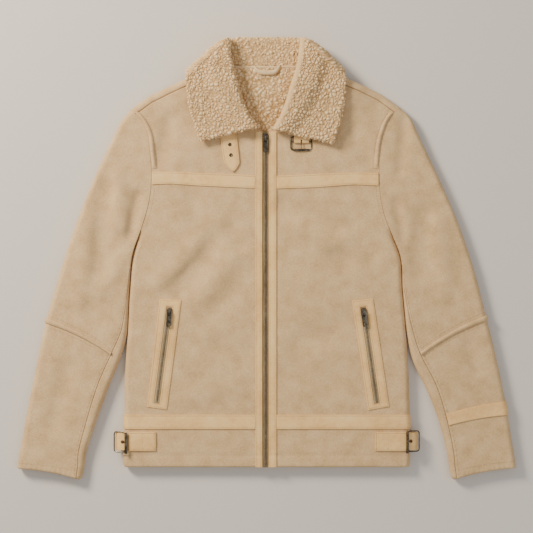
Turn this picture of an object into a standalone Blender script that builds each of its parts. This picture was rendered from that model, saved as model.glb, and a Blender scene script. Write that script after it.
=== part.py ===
"""Aviator jacket in bonded faux shearling, zipped up and laid flat on its back.

The frame has its origin under the middle of the jacket, X to the right as the jacket is
seen from above, Y towards the collar and Z up. "Left" and "right" are as seen from above.
Lengths in this file are millimetres, and make_object() turns them into metres.

The jacket is a set of flattened tubes. A flattened tube has a flat lower layer, a flat
upper layer and a half-round fold along each edge. Each panel is a wall of the shearling's
real thickness: a grid of outer points, and a grid of inner points one wall further in.
"""

import math

import bmesh
import bpy
import numpy as np
from mathutils import Vector

MM = 0.001

# ---------------------------------------------------------------- driving dimensions
CLOTH = 8.0            # shearling: suede face and pile together
HOLLOW = 2.6           # air between the two layers of a flattened tube
STACK = 2 * CLOTH + HOLLOW
FOLD = STACK / 2       # outer radius of the fold along an edge
QUARTER = FOLD * math.pi / 2
SEAM = 0.3             # gap between two pieces that are sewn together
LEATHER = 1.5          # flat leather trims
STRAP = 2.6            # straps, which are two layers of leather

HEM_Y = -376.0
HEM_SEAM_Y = -294.0    # between front and hem band, under the hem trim
YOKE_SEAM_Y = 141.0    # between yoke and front, under the yoke trim
FRONT_TOP_Y = 229.0    # top of the zip
ZIP_X = -2.4
FRONT_EDGE = {"left": -8.1, "right": 2.8}      # where each front stops beside the zip
BINDING_WIDTH = {"left": 12.6, "right": 14.2}
ZIP_BOTTOM_Y = -379.0
COLLAR_LIFT = CLOTH + 0.7                      # the shoulders lie on the collar's back fall
UPPER_LIFT = 1.08      # the fronts rise a little more than the back, so they stay apart
COLLAR_TOP_Y = 400.0
COLLAR_BACK_EDGE_Y = 316.0                     # hidden lower edge of the collar's back fall
NECK_SEAM_Y = 346.0

SIGN = {"left": -1.0, "right": 1.0}


def table(names, rows):
    """Columns of a short table by name, as arrays."""
    return dict(zip(names.split(), np.array(rows, float).T))


# A row for each level of the body: its half width and how far its edge is folded round,
# from 90 degrees on the side seam to 0 on the armhole, where the sleeve is sewn on.
SIDE = {
    "left": table("y out fold", [
        (-376, 258, 90), (-362, 260, 90), (-300, 257, 90), (-224, 257, 90), (-129, 251, 90),
        (-50, 247, 90), (8, 241, 90), (32, 234, 72), (54, 226, 0), (69, 221, 0),
        (109, 211, 0), (150, 208, 0), (190, 211, 0), (238, 221, 0), (252, 229.5, 0),
        (262, 239, 0), (269, 245.6, 0)]),
    "right": table("y out fold", [
        (-376, 257, 90), (-362, 258, 90), (-300, 257.5, 90), (-224, 256, 90),
        (-152, 252, 90), (-58, 244, 90), (10, 238, 90), (33, 229, 72), (54, 220, 0),
        (69, 214, 0), (100, 206, 0), (140, 202, 0), (177, 203, 0), (226, 211, 0),
        (252, 222, 0), (266, 232.5, 0), (272.8, 239.3, 0)]),
}

# A row for each point of the back's top edge: the shoulder, where the back wraps over to
# the shoulder seam on the front, and the neck, where it stops at the collar. "in" is the
# direction from the edge into the panel, "wrap" the length of cloth past the lower layer.
WRAP = math.pi * FOLD + 3.6
BACK_TOP = {
    "left": table("out y in_out in_y wrap", [
        (245.3, 269, -0.68, -0.73, WRAP), (213, 292.5, -0.50, -0.86, WRAP),
        (181, 308, -0.45, -0.89, WRAP), (144, 324, -0.42, -0.91, WRAP),
        (108, 339, -0.40, -0.92, WRAP), (84, 349.5, -0.30, -0.95, WRAP),
        (73, 352, -0.05, -1.0, 5), (60, 352, 0, -1, 3), (30, 352, 0, -1, 3)]),
    "right": table("out y in_out in_y wrap", [
        (238.8, 272.8, -0.68, -0.73, WRAP), (206, 296.5, -0.50, -0.86, WRAP),
        (175, 311, -0.45, -0.89, WRAP), (141, 325, -0.42, -0.91, WRAP),
        (108, 339, -0.40, -0.92, WRAP), (84, 349.5, -0.30, -0.95, WRAP),
        (73, 352, -0.05, -1.0, 5), (60, 352, 0, -1, 3), (30, 352, 0, -1, 3)]),
}

# The front neckline, hidden under the collar, from the neck point to the zip.
NECKLINE = table("out y", [(84, 337), (72, 318), (59, 290), (45, 262), (28, 240), (14, 231)])

# A row for each section of a sleeve, from armhole to cuff. The inner edge is given by its
# level and its distance from the body; "armhole" is the share of the armhole's curve that
# the section still has, "bow" its own curve, and "seam" the cloth between the inner fold
# and the seam of the under sleeve.
SLEEVE = {
    "left": table("outer_out outer_y inner_y away armhole bow seam", [
        (245.3, 269, 31, 0, 1, 0, 9), (265, 243, 20, 0, 0.84, 0, 9),
        (289, 194, 0, 0, 0.6, 0, 9), (318, 129, -36, 0, 0.3, 0, 10),
        (348, 51, -86, 0, 0.1, 0, 13), (376, -36, -136, 0.4, 0, -3, 18),
        (398, -112, -183, 10, 0, -7, 24), (416, -195, -236, 29, 0, -5, 25),
        (432, -273, -296, 51, 0, -4, 22), (444, -340, -348, 64, 0, -3, 19),
        (451, -379, -400, 76, 0, -4, 15)]),
    "right": table("outer_out outer_y inner_y away armhole bow seam", [
        (238.8, 272.8, 32, 0, 1, 0, 9), (260, 251, 20, 0, 0.84, 0, 9),
        (284, 200, 0, 0, 0.6, 0, 9), (314, 137, -36, 0, 0.3, 0, 10),
        (345, 64, -84, 0, 0.1, 0, 13), (373, -18, -130, 0.6, 0, -3, 18),
        (396, -107, -183, 8, 0, -7, 23), (415, -185, -236, 31, 0, -5, 24),
        (431, -263, -290, 51, 0, -4, 20), (442, -330, -346, 65, 0, -3, 17),
        (450, -378, -400, 76, 0, -4, 14)]),
}
ELBOW = 6              # the row that the elbow seam lies on

# A row for each section across a front leaf of the collar, from its tip at the zip to the
# top corner: the roll line, the far edge, how far the leaf is turned down there (180 where
# it wraps under the shoulder), the width of the stand folded under it, how far the leaf
# settles beyond the stand, and the cloth past the turn.
LEAF = {
    "left": table("roll_out roll_y far_out far_y turn stand settle run", [
        (14, 235, 120, 210, 14, 8, 8, 0.8), (27, 251, 130, 243, 14, 12, 8, 0.8),
        (41, 278, 138, 270, 14, 17, 8, 0.8), (52, 311, 144, 301, 14, 22, 8, 0.8),
        (58, 334, 146, 326, 22, 24, 8, 0.8), (62, 350, 143, 341, 150, 22, 8, 0.8),
        (65, 364, 124, 357, 180, 16, 4, 24), (67, 377, 108, 372, 180, 8, 0, 10),
        (68, 389, 97, 386, 180, 2, 0, 2)]),
    "right": table("roll_out roll_y far_out far_y turn stand settle run", [
        (9, 231, 118, 206, 14, 8, 8, 0.8), (20, 249, 130, 238, 14, 12, 8, 0.8),
        (33, 278, 136, 271, 14, 17, 8, 0.8), (43, 311, 140, 301, 14, 22, 8, 0.8),
        (50, 334, 141, 326, 22, 24, 8, 0.8), (54, 350, 138, 341, 150, 22, 8, 0.8),
        (57, 364, 121, 357, 180, 16, 4, 24), (60, 377, 105, 372, 180, 8, 0, 10),
        (64, 389, 95, 386, 180, 2, 0, 2)]),
}

# Soft creases of the upper layer, as segments in plan: height is negative for a trough.
CREASES = table("x0 y0 x1 y1 height width", [
    (-94, 33, -157, -57, -1.8, 17), (-66, 52, -52, 22, -1.5, 15),
    (-138, 100, -128, 70, -1.2, 20), (-174, 249, -192, 177, -1.5, 13),
    (-130, 20, -190, -40, 1.6, 20), (-60, 5, -110, -60, 1.4, 18),
    (29, 96, 122, 55, -1.8, 17), (122, 5, 140, -8, -1.6, 15),
    (60, 60, 120, 25, 1.5, 18), (149, 231, 185, 177, -1.5, 13),
    (113, -128, 60, -150, -1.2, 22), (-85, -155, -40, -170, -1.2, 22),
    (-292, 123, -301, -20, -1.9, 17), (-325, 60, -335, -70, 1.5, 17),
    (-268, 150, -262, 60, 1.5, 13), (283, 78, 275, -22, -1.9, 17),
    (248, 249, 240, 159, -1.5, 11), (310, 60, 322, -60, 1.5, 17),
    (-360, -200, -385, -300, -1.2, 16), (365, -160, 378, -200, -1.2, 14),
])

COLOURS = {
    "suede": ((0.53, 0.40, 0.26), 0.95, 0.0),
    "leather": ((0.70, 0.53, 0.30), 0.55, 0.0),
    "sherpa": ((0.62, 0.47, 0.32), 1.0, 0.0),
    "zip tape": ((0.45, 0.35, 0.24), 0.9, 0.0),
    "nickel": ((0.20, 0.18, 0.16), 0.4, 1.0),
}


# ---------------------------------------------------------------- curves and grids
def ease(value, start, stop):
    """0 before start, 1 after stop, and a smooth S between them."""
    x = np.clip((np.asarray(value, float) - start) / (stop - start), 0, 1)
    return x * x * (3 - 2 * x)


def through(knots, values, at):
    """A smooth curve through the values at the knots: a cubic in each interval, whose
    slope at a knot is that of the line through the knot's two neighbours."""
    knots, values, at = (np.asarray(v, float) for v in (knots, values, at))
    slopes = np.gradient(values, knots)
    i = np.clip(np.searchsorted(knots, at, side="right") - 1, 0, len(knots) - 2)
    width = knots[i + 1] - knots[i]
    x = (at - knots[i]) / width
    start = (2 * x**3 - 3 * x**2 + 1) * values[i] + (x**3 - 2 * x**2 + x) * width * slopes[i]
    end = (3 * x**2 - 2 * x**3) * values[i + 1] + (x**3 - x**2) * width * slopes[i + 1]
    return start + end


def rows_at(columns, at):
    """A table's columns at places between its rows, on smooth curves through them."""
    knots = np.arange(len(next(iter(columns.values()))))
    return {name: through(knots, values, at) for name, values in columns.items()}


def blend_patch(left, right, bottom, top, a, b):
    """Plan grid between four border curves (a Coons patch), rows along b, columns along a."""
    a, b = a[None, :, None], b[:, None, None]
    across = (1 - a) * left[:, None] + a * right[:, None]
    along = (1 - b) * bottom[None] + b * top[None]
    corners = ((1 - a) * (1 - b) * left[0] + a * (1 - b) * right[0]
               + (1 - a) * b * left[-1] + a * b * right[-1])
    return across + along - corners


# ---------------------------------------------------------------- heights
def lift(x, y):
    """How far the neck and shoulders lie above the floor, on the collar's back fall."""
    return COLLAR_LIFT * ease(y, 236, 312) * (1 - ease(np.abs(x), 150, 205))


def relief(x, y):
    """The creases of the upper layer: each falls off as a bell across its segment."""
    total = np.zeros(np.shape(x))
    for x0, y0, x1, y1, height, width in zip(*CREASES.values()):
        dx, dy = x1 - x0, y1 - y0
        along = np.clip(((x - x0) * dx + (y - y0) * dy) / (dx * dx + dy * dy), 0, 1)
        off = np.hypot(x - x0 - along * dx, y - y0 - along * dy)
        total = total + height * np.exp(-((off / width) ** 2))
    return np.clip(total, -1.9, 2.6)


def top_z(x, y):
    """Height of the upper layer's outer face."""
    return STACK + UPPER_LIFT * lift(x, y) + relief(x, y)


def side_out(side, y):
    """Half width of the body at a level."""
    return through(SIDE[side]["y"], SIDE[side]["out"], np.clip(y, HEM_Y, None))


def over_fold(distance):
    """A point of a flattened tube by its distance over the cloth from the middle of a fold:
    how far in from the edge it is, its height, and the normal's two parts."""
    angle = np.clip(distance / FOLD, 0, math.pi / 2)
    inward = FOLD * (1 - np.cos(angle)) + np.clip(distance - QUARTER, 0, None)
    return inward, FOLD + FOLD * np.sin(angle), -np.cos(angle), np.sin(angle)


# ---------------------------------------------------------------- objects
def material(name):
    """The named finish, made once."""
    found = bpy.data.materials.get(name)
    if found:
        return found
    colour, roughness, metallic = COLOURS[name]
    made = bpy.data.materials.new(name)
    made.use_nodes = True
    shader = made.node_tree.nodes["Principled BSDF"]
    shader.inputs["Base Color"].default_value = (*colour, 1)
    shader.inputs["Roughness"].default_value = roughness
    shader.inputs["Metallic"].default_value = metallic
    return made


def make_object(name, points, faces, finish, at=(0, 0, 0)):
    """A mesh object from points in millimetres, with its origin at a point."""
    mesh = bpy.data.meshes.new(name)
    moved = (np.asarray(points, float) - at) * MM
    mesh.from_pydata(moved.tolist(), [], [list(map(int, face)) for face in faces])
    work = bmesh.new()
    work.from_mesh(mesh)
    if work.calc_volume(signed=True) < 0:
        bmesh.ops.reverse_faces(work, faces=work.faces)
    work.to_mesh(mesh)
    work.free()
    mesh.shade_smooth()
    mesh.set_sharp_from_angle(angle=math.radians(40))
    mesh.materials.append(material(finish))
    made = bpy.data.objects.new(name, mesh)
    made.location = Vector(at) * MM
    bpy.context.scene.collection.objects.link(made)
    return made


def wall(name, outer, inner, finish):
    """Closed wall between two grids of points, with its four borders shut."""
    rows, columns = outer.shape[:2]
    size = rows * columns
    index = np.arange(size).reshape(rows, columns)
    face = np.stack([index[:-1, :-1], index[:-1, 1:], index[1:, 1:], index[1:, :-1]], -1)
    face = face.reshape(-1, 4)
    border = np.concatenate([index[0, :-1], index[:-1, -1], index[-1, :0:-1], index[:0:-1, 0]])
    after = np.roll(border, -1)
    rim = np.stack([border, border + size, after + size, after], -1)
    faces = np.concatenate([face, face[:, ::-1] + size, rim])
    points = np.concatenate([outer.reshape(-1, 3), inner.reshape(-1, 3)])
    return make_object(name, points, faces, finish)


def stacked(xy, z):
    """Points from a plan grid and their heights."""
    return np.concatenate([xy, np.broadcast_to(z, xy.shape[:-1])[..., None]], -1)


def laid(name, xy, thickness, finish, above=SEAM):
    """A flat piece that lies on the upper layer and follows its creases."""
    base = top_z(xy[..., 0], xy[..., 1]) + above
    return wall(name, stacked(xy, base + thickness), stacked(xy, base), finish)


# ---------------------------------------------------------------- body
HALF_SEAM = SEAM / 2
EDGE_STEPS = np.array([0.0, 0.25, 0.5, 0.75, 1.0]) * QUARTER
FOLD_ROWS = (8, 22, 34, 46, 56)        # levels that the armpit's turn needs
NO_FOLD = 0.05                         # degrees that stand for an edge that lies flat


def folded(xy, side, reach):
    """Turns the border of a plan grid round the body's edge. A strip of cloth one quarter
    turn long bends by the angle that the side's table gives, on the radius that keeps its
    length; the cloth beyond it moves with the strip, less and less up to reach."""
    sign, y = SIGN[side], xy[..., 1]
    distance = side_out(side, y) - sign * xy[..., 0]
    fold = np.interp(y, SIDE[side]["y"], SIDE[side]["fold"])
    turn = np.radians(np.maximum(fold, NO_FOLD))
    radius = QUARTER / turn
    angle = np.clip(QUARTER - distance, 0, None) / radius
    slack = radius * np.sin(turn) - QUARTER
    rest = slack * np.clip((reach - distance) / (reach - QUARTER), 0, 1)
    strip = radius * (np.sin(turn) - np.sin(angle)) - distance
    moved = xy.copy()
    moved[..., 0] -= sign * np.where(distance < QUARTER, strip, rest)
    return moved, radius * (1 - np.cos(angle)), angle


def front_panel(name, side, levels, top_border, front_top):
    """One front piece: a wall of the upper layer from the side seam to the zip. Its top
    border is given by distances from the middle and their levels."""
    sign, edge = SIGN[side], SIGN[side] * FRONT_EDGE[side]
    start_y, stop_y = levels[0], levels[-1]
    b = (np.array(levels) - start_y) / (stop_y - start_y)
    width = side_out(side, 0.0) - edge
    flat = np.linspace(QUARTER / width, 1, 11)[1:]
    a = np.concatenate([EDGE_STEPS / width, flat])
    y = np.array(levels, float)
    side_x = sign * (side_out(side, y) - HALF_SEAM)
    left = np.stack([side_x, y], -1)
    right = np.stack([np.full_like(y, sign * edge), start_y + b * (front_top - start_y)], -1)
    across = np.stack([side_x[0] + a * (sign * edge - side_x[0]), np.full_like(a, start_y)], -1)
    top_x = side_x[-1] + a * (sign * edge - side_x[-1])
    top = np.stack([top_x, np.interp(sign * top_x, *top_border)], -1)
    top[0], top[-1] = left[-1], right[-1]
    plan = blend_patch(left, right, across, top, a, b)
    plan, drop, angle = folded(plan, side, width)
    x, y = plan[..., 0], plan[..., 1]
    crease = relief(x, y) * np.cos(angle) ** 4
    z = STACK + UPPER_LIFT * lift(x, y) + crease - drop
    inner_x = x - sign * np.sin(angle) * CLOTH
    inner_z = np.maximum(z - np.cos(angle) * CLOTH, FOLD + HALF_SEAM)
    outer = np.stack([x, y, z], -1)
    inner = np.stack([inner_x, y, inner_z], -1)
    return wall(name, outer, inner, "suede")


def shoulder_seam(side):
    """Points of the shoulder seam and the front neckline, from armhole to zip."""
    top, down = BACK_TOP[side], FOLD + 3.6 + 2 * SEAM
    shoulder = slice(0, 6)
    out = top["out"][shoulder] + top["in_out"][shoulder] * down
    y = top["y"][shoulder] + top["in_y"][shoulder] * down
    return np.concatenate([out, NECKLINE["out"][1:]]), np.concatenate([y, NECKLINE["y"][1:]])


def build_fronts(side):
    """Yoke, front and hem band of one side, parted at the seams under the trims."""
    flat, hem_top = np.array([0.0, 300.0]), HEM_SEAM_Y - HALF_SEAM
    front_panel("hem_band_" + side, side, [HEM_Y, -350, -322, hem_top],
                (flat, flat * 0 + hem_top), hem_top)
    low, high = HEM_SEAM_Y + HALF_SEAM, YOKE_SEAM_Y - HALF_SEAM
    rows = [low, -255, -215, -175, -135, -95, -60, -25, *FOLD_ROWS, 84, 112, high]
    front_panel("front_" + side, side, rows, (flat, flat * 0 + high), high)
    out, y = shoulder_seam(side)
    rows = np.linspace(YOKE_SEAM_Y + HALF_SEAM, y[0], 10)
    front_panel("front_yoke_" + side, side, list(rows), (out[::-1], y[::-1]), FRONT_TOP_Y)


def build_back():
    """The back: the lower layer from hem to neck, which wraps over the shoulders."""
    names = ("out", "y", "in_out", "in_y", "wrap")
    left, right = BACK_TOP["left"], BACK_TOP["right"]
    knots = {n: np.concatenate([left[n], right[n][::-1]]) for n in names}
    count = len(left["out"])
    signs = np.concatenate([-np.ones(count), np.ones(len(right["out"]))])
    knots["out"] = knots["out"] * signs
    knots["in_out"] = knots["in_out"] * signs
    first, last = knots["out"][0], knots["out"][-1]
    span = last - first
    strip = EDGE_STEPS[:-1] / span
    inside = [-213, -181, -144, -108, -84, -73, -40, 0, 40, 73, 84, 108, 141, 175, 206]
    a = np.concatenate([strip, (np.array(inside) - first) / span, 1 - strip[::-1]])
    at = first + a * span
    edge = {n: np.interp(at, knots["out"], knots[n]) for n in names[1:]}
    into = np.stack([edge["in_out"], edge["in_y"]], -1)
    into /= np.linalg.norm(into, axis=1)[:, None]
    rim = np.stack([at, edge["y"]], -1)
    rows = np.array([HEM_Y, -300, -200, -110, -40, *FOLD_ROWS, 75, 98, 122, 150, 178, 200,
                     218, 234, 248, 262.2])
    b = (rows - rows[0]) / (rows[-1] - rows[0])
    top = rim + into * FOLD
    borders = []
    for side, end in (("left", 0), ("right", -1)):
        y = rows[0] + b * (top[end, 1] - rows[0])
        borders.append(np.stack([SIGN[side] * (side_out(side, y) - HALF_SEAM), y], -1))
    top[0], top[-1] = borders[0][-1], borders[1][-1]
    hem_x = borders[0][0, 0] + a * (borders[1][0, 0] - borders[0][0, 0])
    hem = np.stack([hem_x, np.full_like(a, HEM_Y)], -1)
    plan = blend_patch(borders[0], borders[1], hem, top, a, b)
    half = plan.shape[1] // 2
    parts = [folded(plan[:, :half], "left", 255), folded(plan[:, half:], "right", 255)]
    plan, rise, angle = (np.concatenate([p[i] for p in parts], axis=1) for i in range(3))
    x, y = plan[..., 0], plan[..., 1]
    sign = np.sign(x)
    z = lift(x, y) + rise
    outer = np.stack([x, y, z], -1)
    inner_z = np.minimum(z + np.cos(angle) * CLOTH, FOLD - HALF_SEAM)
    inner_z = np.where(angle > 0.01, inner_z, z + CLOTH)
    inner = np.stack([x - sign * np.sin(angle) * CLOTH, y, inner_z], -1)
    turns = np.linspace(0, 1, 7)[1:, None]
    length = turns * edge["wrap"]
    turned = np.minimum(length / FOLD, math.pi)
    inward = FOLD - FOLD * np.sin(turned) + (length - turned * FOLD)
    over = rim + into * inward[..., None]
    over[:, 0] += top[0] - (rim + into * FOLD)[0]
    over[:, -1] += top[-1] - (rim + into * FOLD)[-1]
    base = lift(over[..., 0], over[..., 1])
    arc = stacked(over, base + FOLD - FOLD * np.cos(turned))
    normal = stacked(-into * np.sin(turned)[..., None], -np.cos(turned))
    outer = np.concatenate([outer, arc])
    inner = np.concatenate([inner, arc - normal * CLOTH])
    wall("back", outer, inner, "suede")


# ---------------------------------------------------------------- sleeves
SLEEVE_GAP = 0.7       # between a sleeve and the body's edge
ELBOW_SEAM = 0.006     # the gap at the elbow seam, as a share of a row of the table
WELT_ROWS = 0.055      # half the elbow welt's width, as a share of a row
WELT_HEIGHT = 2.2
FOREARM_BAND = (7.92, 8.26)            # where the band lies along the sleeve's table
ACROSS = np.linspace(0, 1, 41)


def sleeve_sections(side, at):
    """Plan curves across a sleeve, from the outer to the inner edge, one for each place
    along its table, and the cloth between the inner fold and the under seam."""
    sign, rows = SIGN[side], rows_at(SLEEVE[side], at)
    hole = SLEEVE[side]
    hole_y = hole["outer_y"][0] + ACROSS * (hole["inner_y"][0] - hole["outer_y"][0])
    hole_curve = np.stack([side_out(side, hole_y) + SLEEVE_GAP, hole_y], -1)
    chord = hole_curve[0] + ACROSS[:, None] * (hole_curve[-1] - hole_curve[0])
    curves = []
    for i in range(len(rows["away"])):
        outer = np.array([rows["outer_out"][i], rows["outer_y"][i]])
        if at[i] == 0:
            outer = hole_curve[0]
        inner_y = rows["inner_y"][i]
        inner_out = side_out(side, inner_y) + SLEEVE_GAP + max(rows["away"][i], 0)
        line = np.array([inner_out, inner_y]) - outer
        up = np.array([line[1], -line[0]]) / np.linalg.norm(line)
        curve = outer + ACROSS[:, None] * line
        curve += np.clip(rows["armhole"][i], 0, 1) * (hole_curve - chord)
        curve -= (rows["bow"][i] * 4 * ACROSS * (1 - ACROSS))[:, None] * up
        curves.append(curve * (sign, 1))
    return curves, rows["seam"]


def around(curve, distance, lower):
    """A point of the sleeve's tube and its normal. Distance runs over the cloth from the
    outer fold to the inner one, on the upper or the lower layer."""
    steps = np.concatenate([[0], np.cumsum(np.linalg.norm(np.diff(curve, axis=0), axis=1))])
    total = steps[-1] - 2 * FOLD + 2 * QUARTER
    far = distance > total / 2
    inward, z, off, up = over_fold(np.where(far, total - distance, distance))
    at = np.where(far, steps[-1] - inward, inward)
    point = np.stack([np.interp(at, steps, curve[:, k]) for k in (0, 1)], -1)
    ahead = np.stack([np.interp(np.clip(at + 1, 0, steps[-1]), steps, curve[:, k])
                      - np.interp(np.clip(at - 1, 0, steps[-1]), steps, curve[:, k])
                      for k in (0, 1)], -1)
    ahead /= np.linalg.norm(ahead, axis=1)[:, None]
    plan_normal = ahead * np.where(far, -off, off)[:, None]
    if lower:
        z, up = STACK - z, -up
    else:
        z = z + relief(point[:, 0], point[:, 1]) * np.clip(up, 0, 1) ** 4
    return stacked(point, z), stacked(plan_normal, up)


def tube_length(curve):
    """Cloth on one layer of the tube, between the middles of its two folds."""
    return np.linalg.norm(np.diff(curve, axis=0), axis=1).sum() - 2 * FOLD + 2 * QUARTER


def drawn_back(end, before):
    """The step that keeps the inner edge of a seam clear of its neighbour in a bend."""
    step = before - end
    return step * (SEAM / np.linalg.norm(step))


def build_top_panel(name, side, places):
    """A top panel of the sleeve: a row of points on each section, then the same one wall in."""
    outer, inner = [], []
    for curve, seam in zip(*sleeve_sections(side, places)):
        point, normal = around(curve, top_distances(curve, seam), False)
        inside = point - normal * CLOTH
        inside[:, 2] = np.maximum(inside[:, 2], FOLD + HALF_SEAM)
        inside[-1] += drawn_back(point[-1], point[-2])
        outer.append(point)
        inner.append(inside)
    wall(name, np.array(outer), np.array(inner), "suede")


def top_distances(curve, seam):
    """Where the columns of a sleeve's top panel lie, from its outer to its under seam."""
    total, end = tube_length(curve), tube_length(curve) - seam - HALF_SEAM
    flat_end = min(total - QUARTER, end - 2)
    start = np.concatenate([[HALF_SEAM], EDGE_STEPS[1:]])
    flat = np.linspace(QUARTER, flat_end, 7)[1:]
    return np.concatenate([start, flat, [(flat_end + end) / 2, end]])


def build_under_sleeve(side, curves, seams):
    """The under sleeve, a wall from the seam on the upper layer round the inner fold and
    along the lower layer to the outer fold."""
    outer, inner = [], []
    for curve, seam in zip(curves, seams):
        total = tube_length(curve)
        upper = total - (seam - SEAM) * np.linspace(1, 0, 6)[:-1]
        lower = total - np.concatenate([EDGE_STEPS, np.linspace(QUARTER, total - QUARTER, 4)[1:],
                                        total - EDGE_STEPS[-2:0:-1], [total - HALF_SEAM]])
        parts = [around(curve, upper, False), around(curve, lower, True)]
        point = np.concatenate([p[0] for p in parts])
        normal = np.concatenate([p[1] for p in parts])
        inside = point - normal * CLOTH
        inside[-1, 2] = min(inside[-1, 2], FOLD - HALF_SEAM)
        inside[0] += drawn_back(point[0], point[1])
        outer.append(point)
        inner.append(inside)
    wall("under_sleeve_" + side, np.array(outer), np.array(inner), "suede")


def build_sleeve(side):
    """Upper and lower top panels, the under sleeve and the raised elbow seam."""
    last = len(SLEEVE[side]["away"]) - 1
    curves, seams = sleeve_sections(side, np.linspace(0, last, 2 * last + 1))
    build_under_sleeve(side, curves, seams)
    near = ELBOW_SEAM / 2
    build_top_panel("sleeve_upper_" + side, side, np.append(np.arange(0, ELBOW, 0.5), ELBOW - near))
    build_top_panel("sleeve_lower_" + side, side,
                    np.append(ELBOW + near, np.arange(ELBOW + 0.5, last + 0.5, 0.5)))
    build_elbow_welt(side)


def on_sleeve(name, side, places, rise, finish, columns):
    """A strip across the top of a sleeve, from its outer fold to its under seam: places
    are its sections along the sleeve, and rise its thickness at each of them."""
    curves, seams = sleeve_sections(side, places)
    outer, inner = [], []
    for curve, seam, high in zip(curves, seams, rise):
        end = tube_length(curve) - seam - 2 * SEAM
        along = np.concatenate([[2 * SEAM], EDGE_STEPS[1:], np.linspace(QUARTER, end, columns)[1:]])
        point, normal = around(curve, along, False)
        outer.append(point + normal * (SEAM + high))
        inner.append(point + normal * SEAM)
    wall(name, np.array(outer), np.array(inner), finish)


def build_elbow_welt(side):
    """The padded seam across the elbow, 9 mm wide and round on top."""
    share = np.linspace(-1, 1, 5)
    on_sleeve("elbow_welt_" + side, side, ELBOW + share * WELT_ROWS,
              WELT_HEIGHT * np.sqrt(1 - (0.94 * share) ** 2), "suede", 9)


def build_forearm_band():
    """The leather band across the right forearm."""
    on_sleeve("forearm_band_right", "right", np.linspace(*FOREARM_BAND, 3), [LEATHER] * 3,
              "leather", 9)


# ---------------------------------------------------------------- collar
LEAF_GAP = 0.6                         # between the two leaves of the folded collar
ROLL = CLOTH + LEAF_GAP / 2            # outer radius of the collar's roll
COLLAR_HALF = 70.0                     # half width of the back of the collar
CORNER_HALF = 79.0                     # and of its fold, which reaches the top corners


def collar_floor(y):
    """Height of what a front leaf lies on: the fronts, then the back of the collar, with
    the air that holds the leaf's lower edge up over the throat strap."""
    under = STACK + UPPER_LIFT * COLLAR_LIFT * ease(y, 236, 312) - 9.6 * ease(y, 352, 396)
    return under + 0.6 + 4.6 * (1 - ease(y, 240, 300))


def leaf_section(width, base, turn, stand, settle, run):
    """One section of a front leaf, as distances from the roll line, heights and normals:
    the stand inwards, a half turn at the roll, the leaf outwards, its turn and its end."""
    top = base + 2 * ROLL
    radius = (top - settle) / 2
    turned = math.radians(turn)
    centre = width - radius * math.sin(min(turned, math.pi / 2))
    under = np.linspace(ROLL + stand, ROLL, 3)[:-1]
    roll = np.linspace(-1, 1, 5) * math.pi / 2
    over = np.linspace(ROLL, centre, 8)[1:-1]
    settled = settle * ease(over, ROLL + stand + 1, min(ROLL + stand + 28, centre))
    bend = np.linspace(0, turned, 6)
    end = np.array([run])
    distance = np.concatenate([under, ROLL - ROLL * np.cos(roll), over,
                               centre + radius * np.sin(bend),
                               centre + radius * math.sin(turned) + end * math.cos(turned)])
    z_bend = top - settle - radius + radius * np.cos(bend)
    height = np.concatenate([np.full(2, base), base + ROLL + ROLL * np.sin(roll),
                             top - settled, z_bend,
                             np.maximum(z_bend[-1] - end * math.sin(turned), 0)])
    out = np.concatenate([np.zeros(2), -np.cos(roll), np.zeros(6), np.sin(bend),
                          [math.sin(turned)]])
    up = np.concatenate([-np.ones(2), np.sin(roll), np.ones(6), np.cos(bend),
                         [math.cos(turned)]])
    return distance, height, out, up


def build_collar_leaf(side):
    """A front leaf of the collar: it lies on the front, and wraps under the shoulder."""
    sign = SIGN[side]
    rows = rows_at(LEAF[side], np.linspace(0, 8, 17))
    outer, inner = [], []
    for i in range(17):
        roll = np.array([sign * rows["roll_out"][i], rows["roll_y"][i]])
        far = np.array([sign * rows["far_out"][i], rows["far_y"][i]])
        width = np.linalg.norm(far - roll)
        turn = np.clip(rows["turn"][i], 14, 180)
        base = collar_floor((roll[1] + far[1]) / 2)
        distance, z, out, up = leaf_section(width, base, turn, max(rows["stand"][i], 2),
                                            max(rows["settle"][i], 0), max(rows["run"][i], 0.8))
        along = (far - roll) / width
        point = stacked(roll + distance[:, None] * along, z)
        outer.append(point)
        inner.append(point - stacked(out[:, None] * along, up) * CLOTH)
    wall("collar_leaf_" + side, np.array(outer), np.array(inner), "sherpa")


def build_collar_back():
    """The back of the collar: the fall under the shoulders, the fold at the top and the
    stand, whose pile shows above the neck seam."""
    across = np.linspace(-1, 1, 9)
    roll = np.linspace(-1, 1, 8) * math.pi / 2
    centre = COLLAR_TOP_Y - ROLL
    fall = np.linspace(COLLAR_BACK_EDGE_Y, centre, 4)[:-1]
    stand = np.linspace(0, 1, 4)[1:]
    outer, inner = [], []
    for share in across:
        neck = NECK_SEAM_Y + 0.5 + 2.6 * share**4
        top = COLLAR_TOP_Y - 1.6 * (1 - share**2)
        y = np.concatenate([fall, top - ROLL + ROLL * np.cos(roll),
                            (top - ROLL) + stand * (neck - top + ROLL)])
        z = np.concatenate([np.zeros(3), ROLL + ROLL * np.sin(roll), np.full(3, 2 * ROLL)])
        out = np.concatenate([np.zeros(3), np.cos(roll), np.zeros(3)])
        up = np.concatenate([-np.ones(3), np.sin(roll), np.ones(3)])
        half = COLLAR_HALF + (CORNER_HALF - COLLAR_HALF) * out
        x = share * half
        outer.append(np.stack([x, y, z], -1))
        inner.append(np.stack([x, y - out * CLOTH, z - up * CLOTH], -1))
    wall("collar_back", np.array(outer), np.array(inner), "sherpa")


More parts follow.
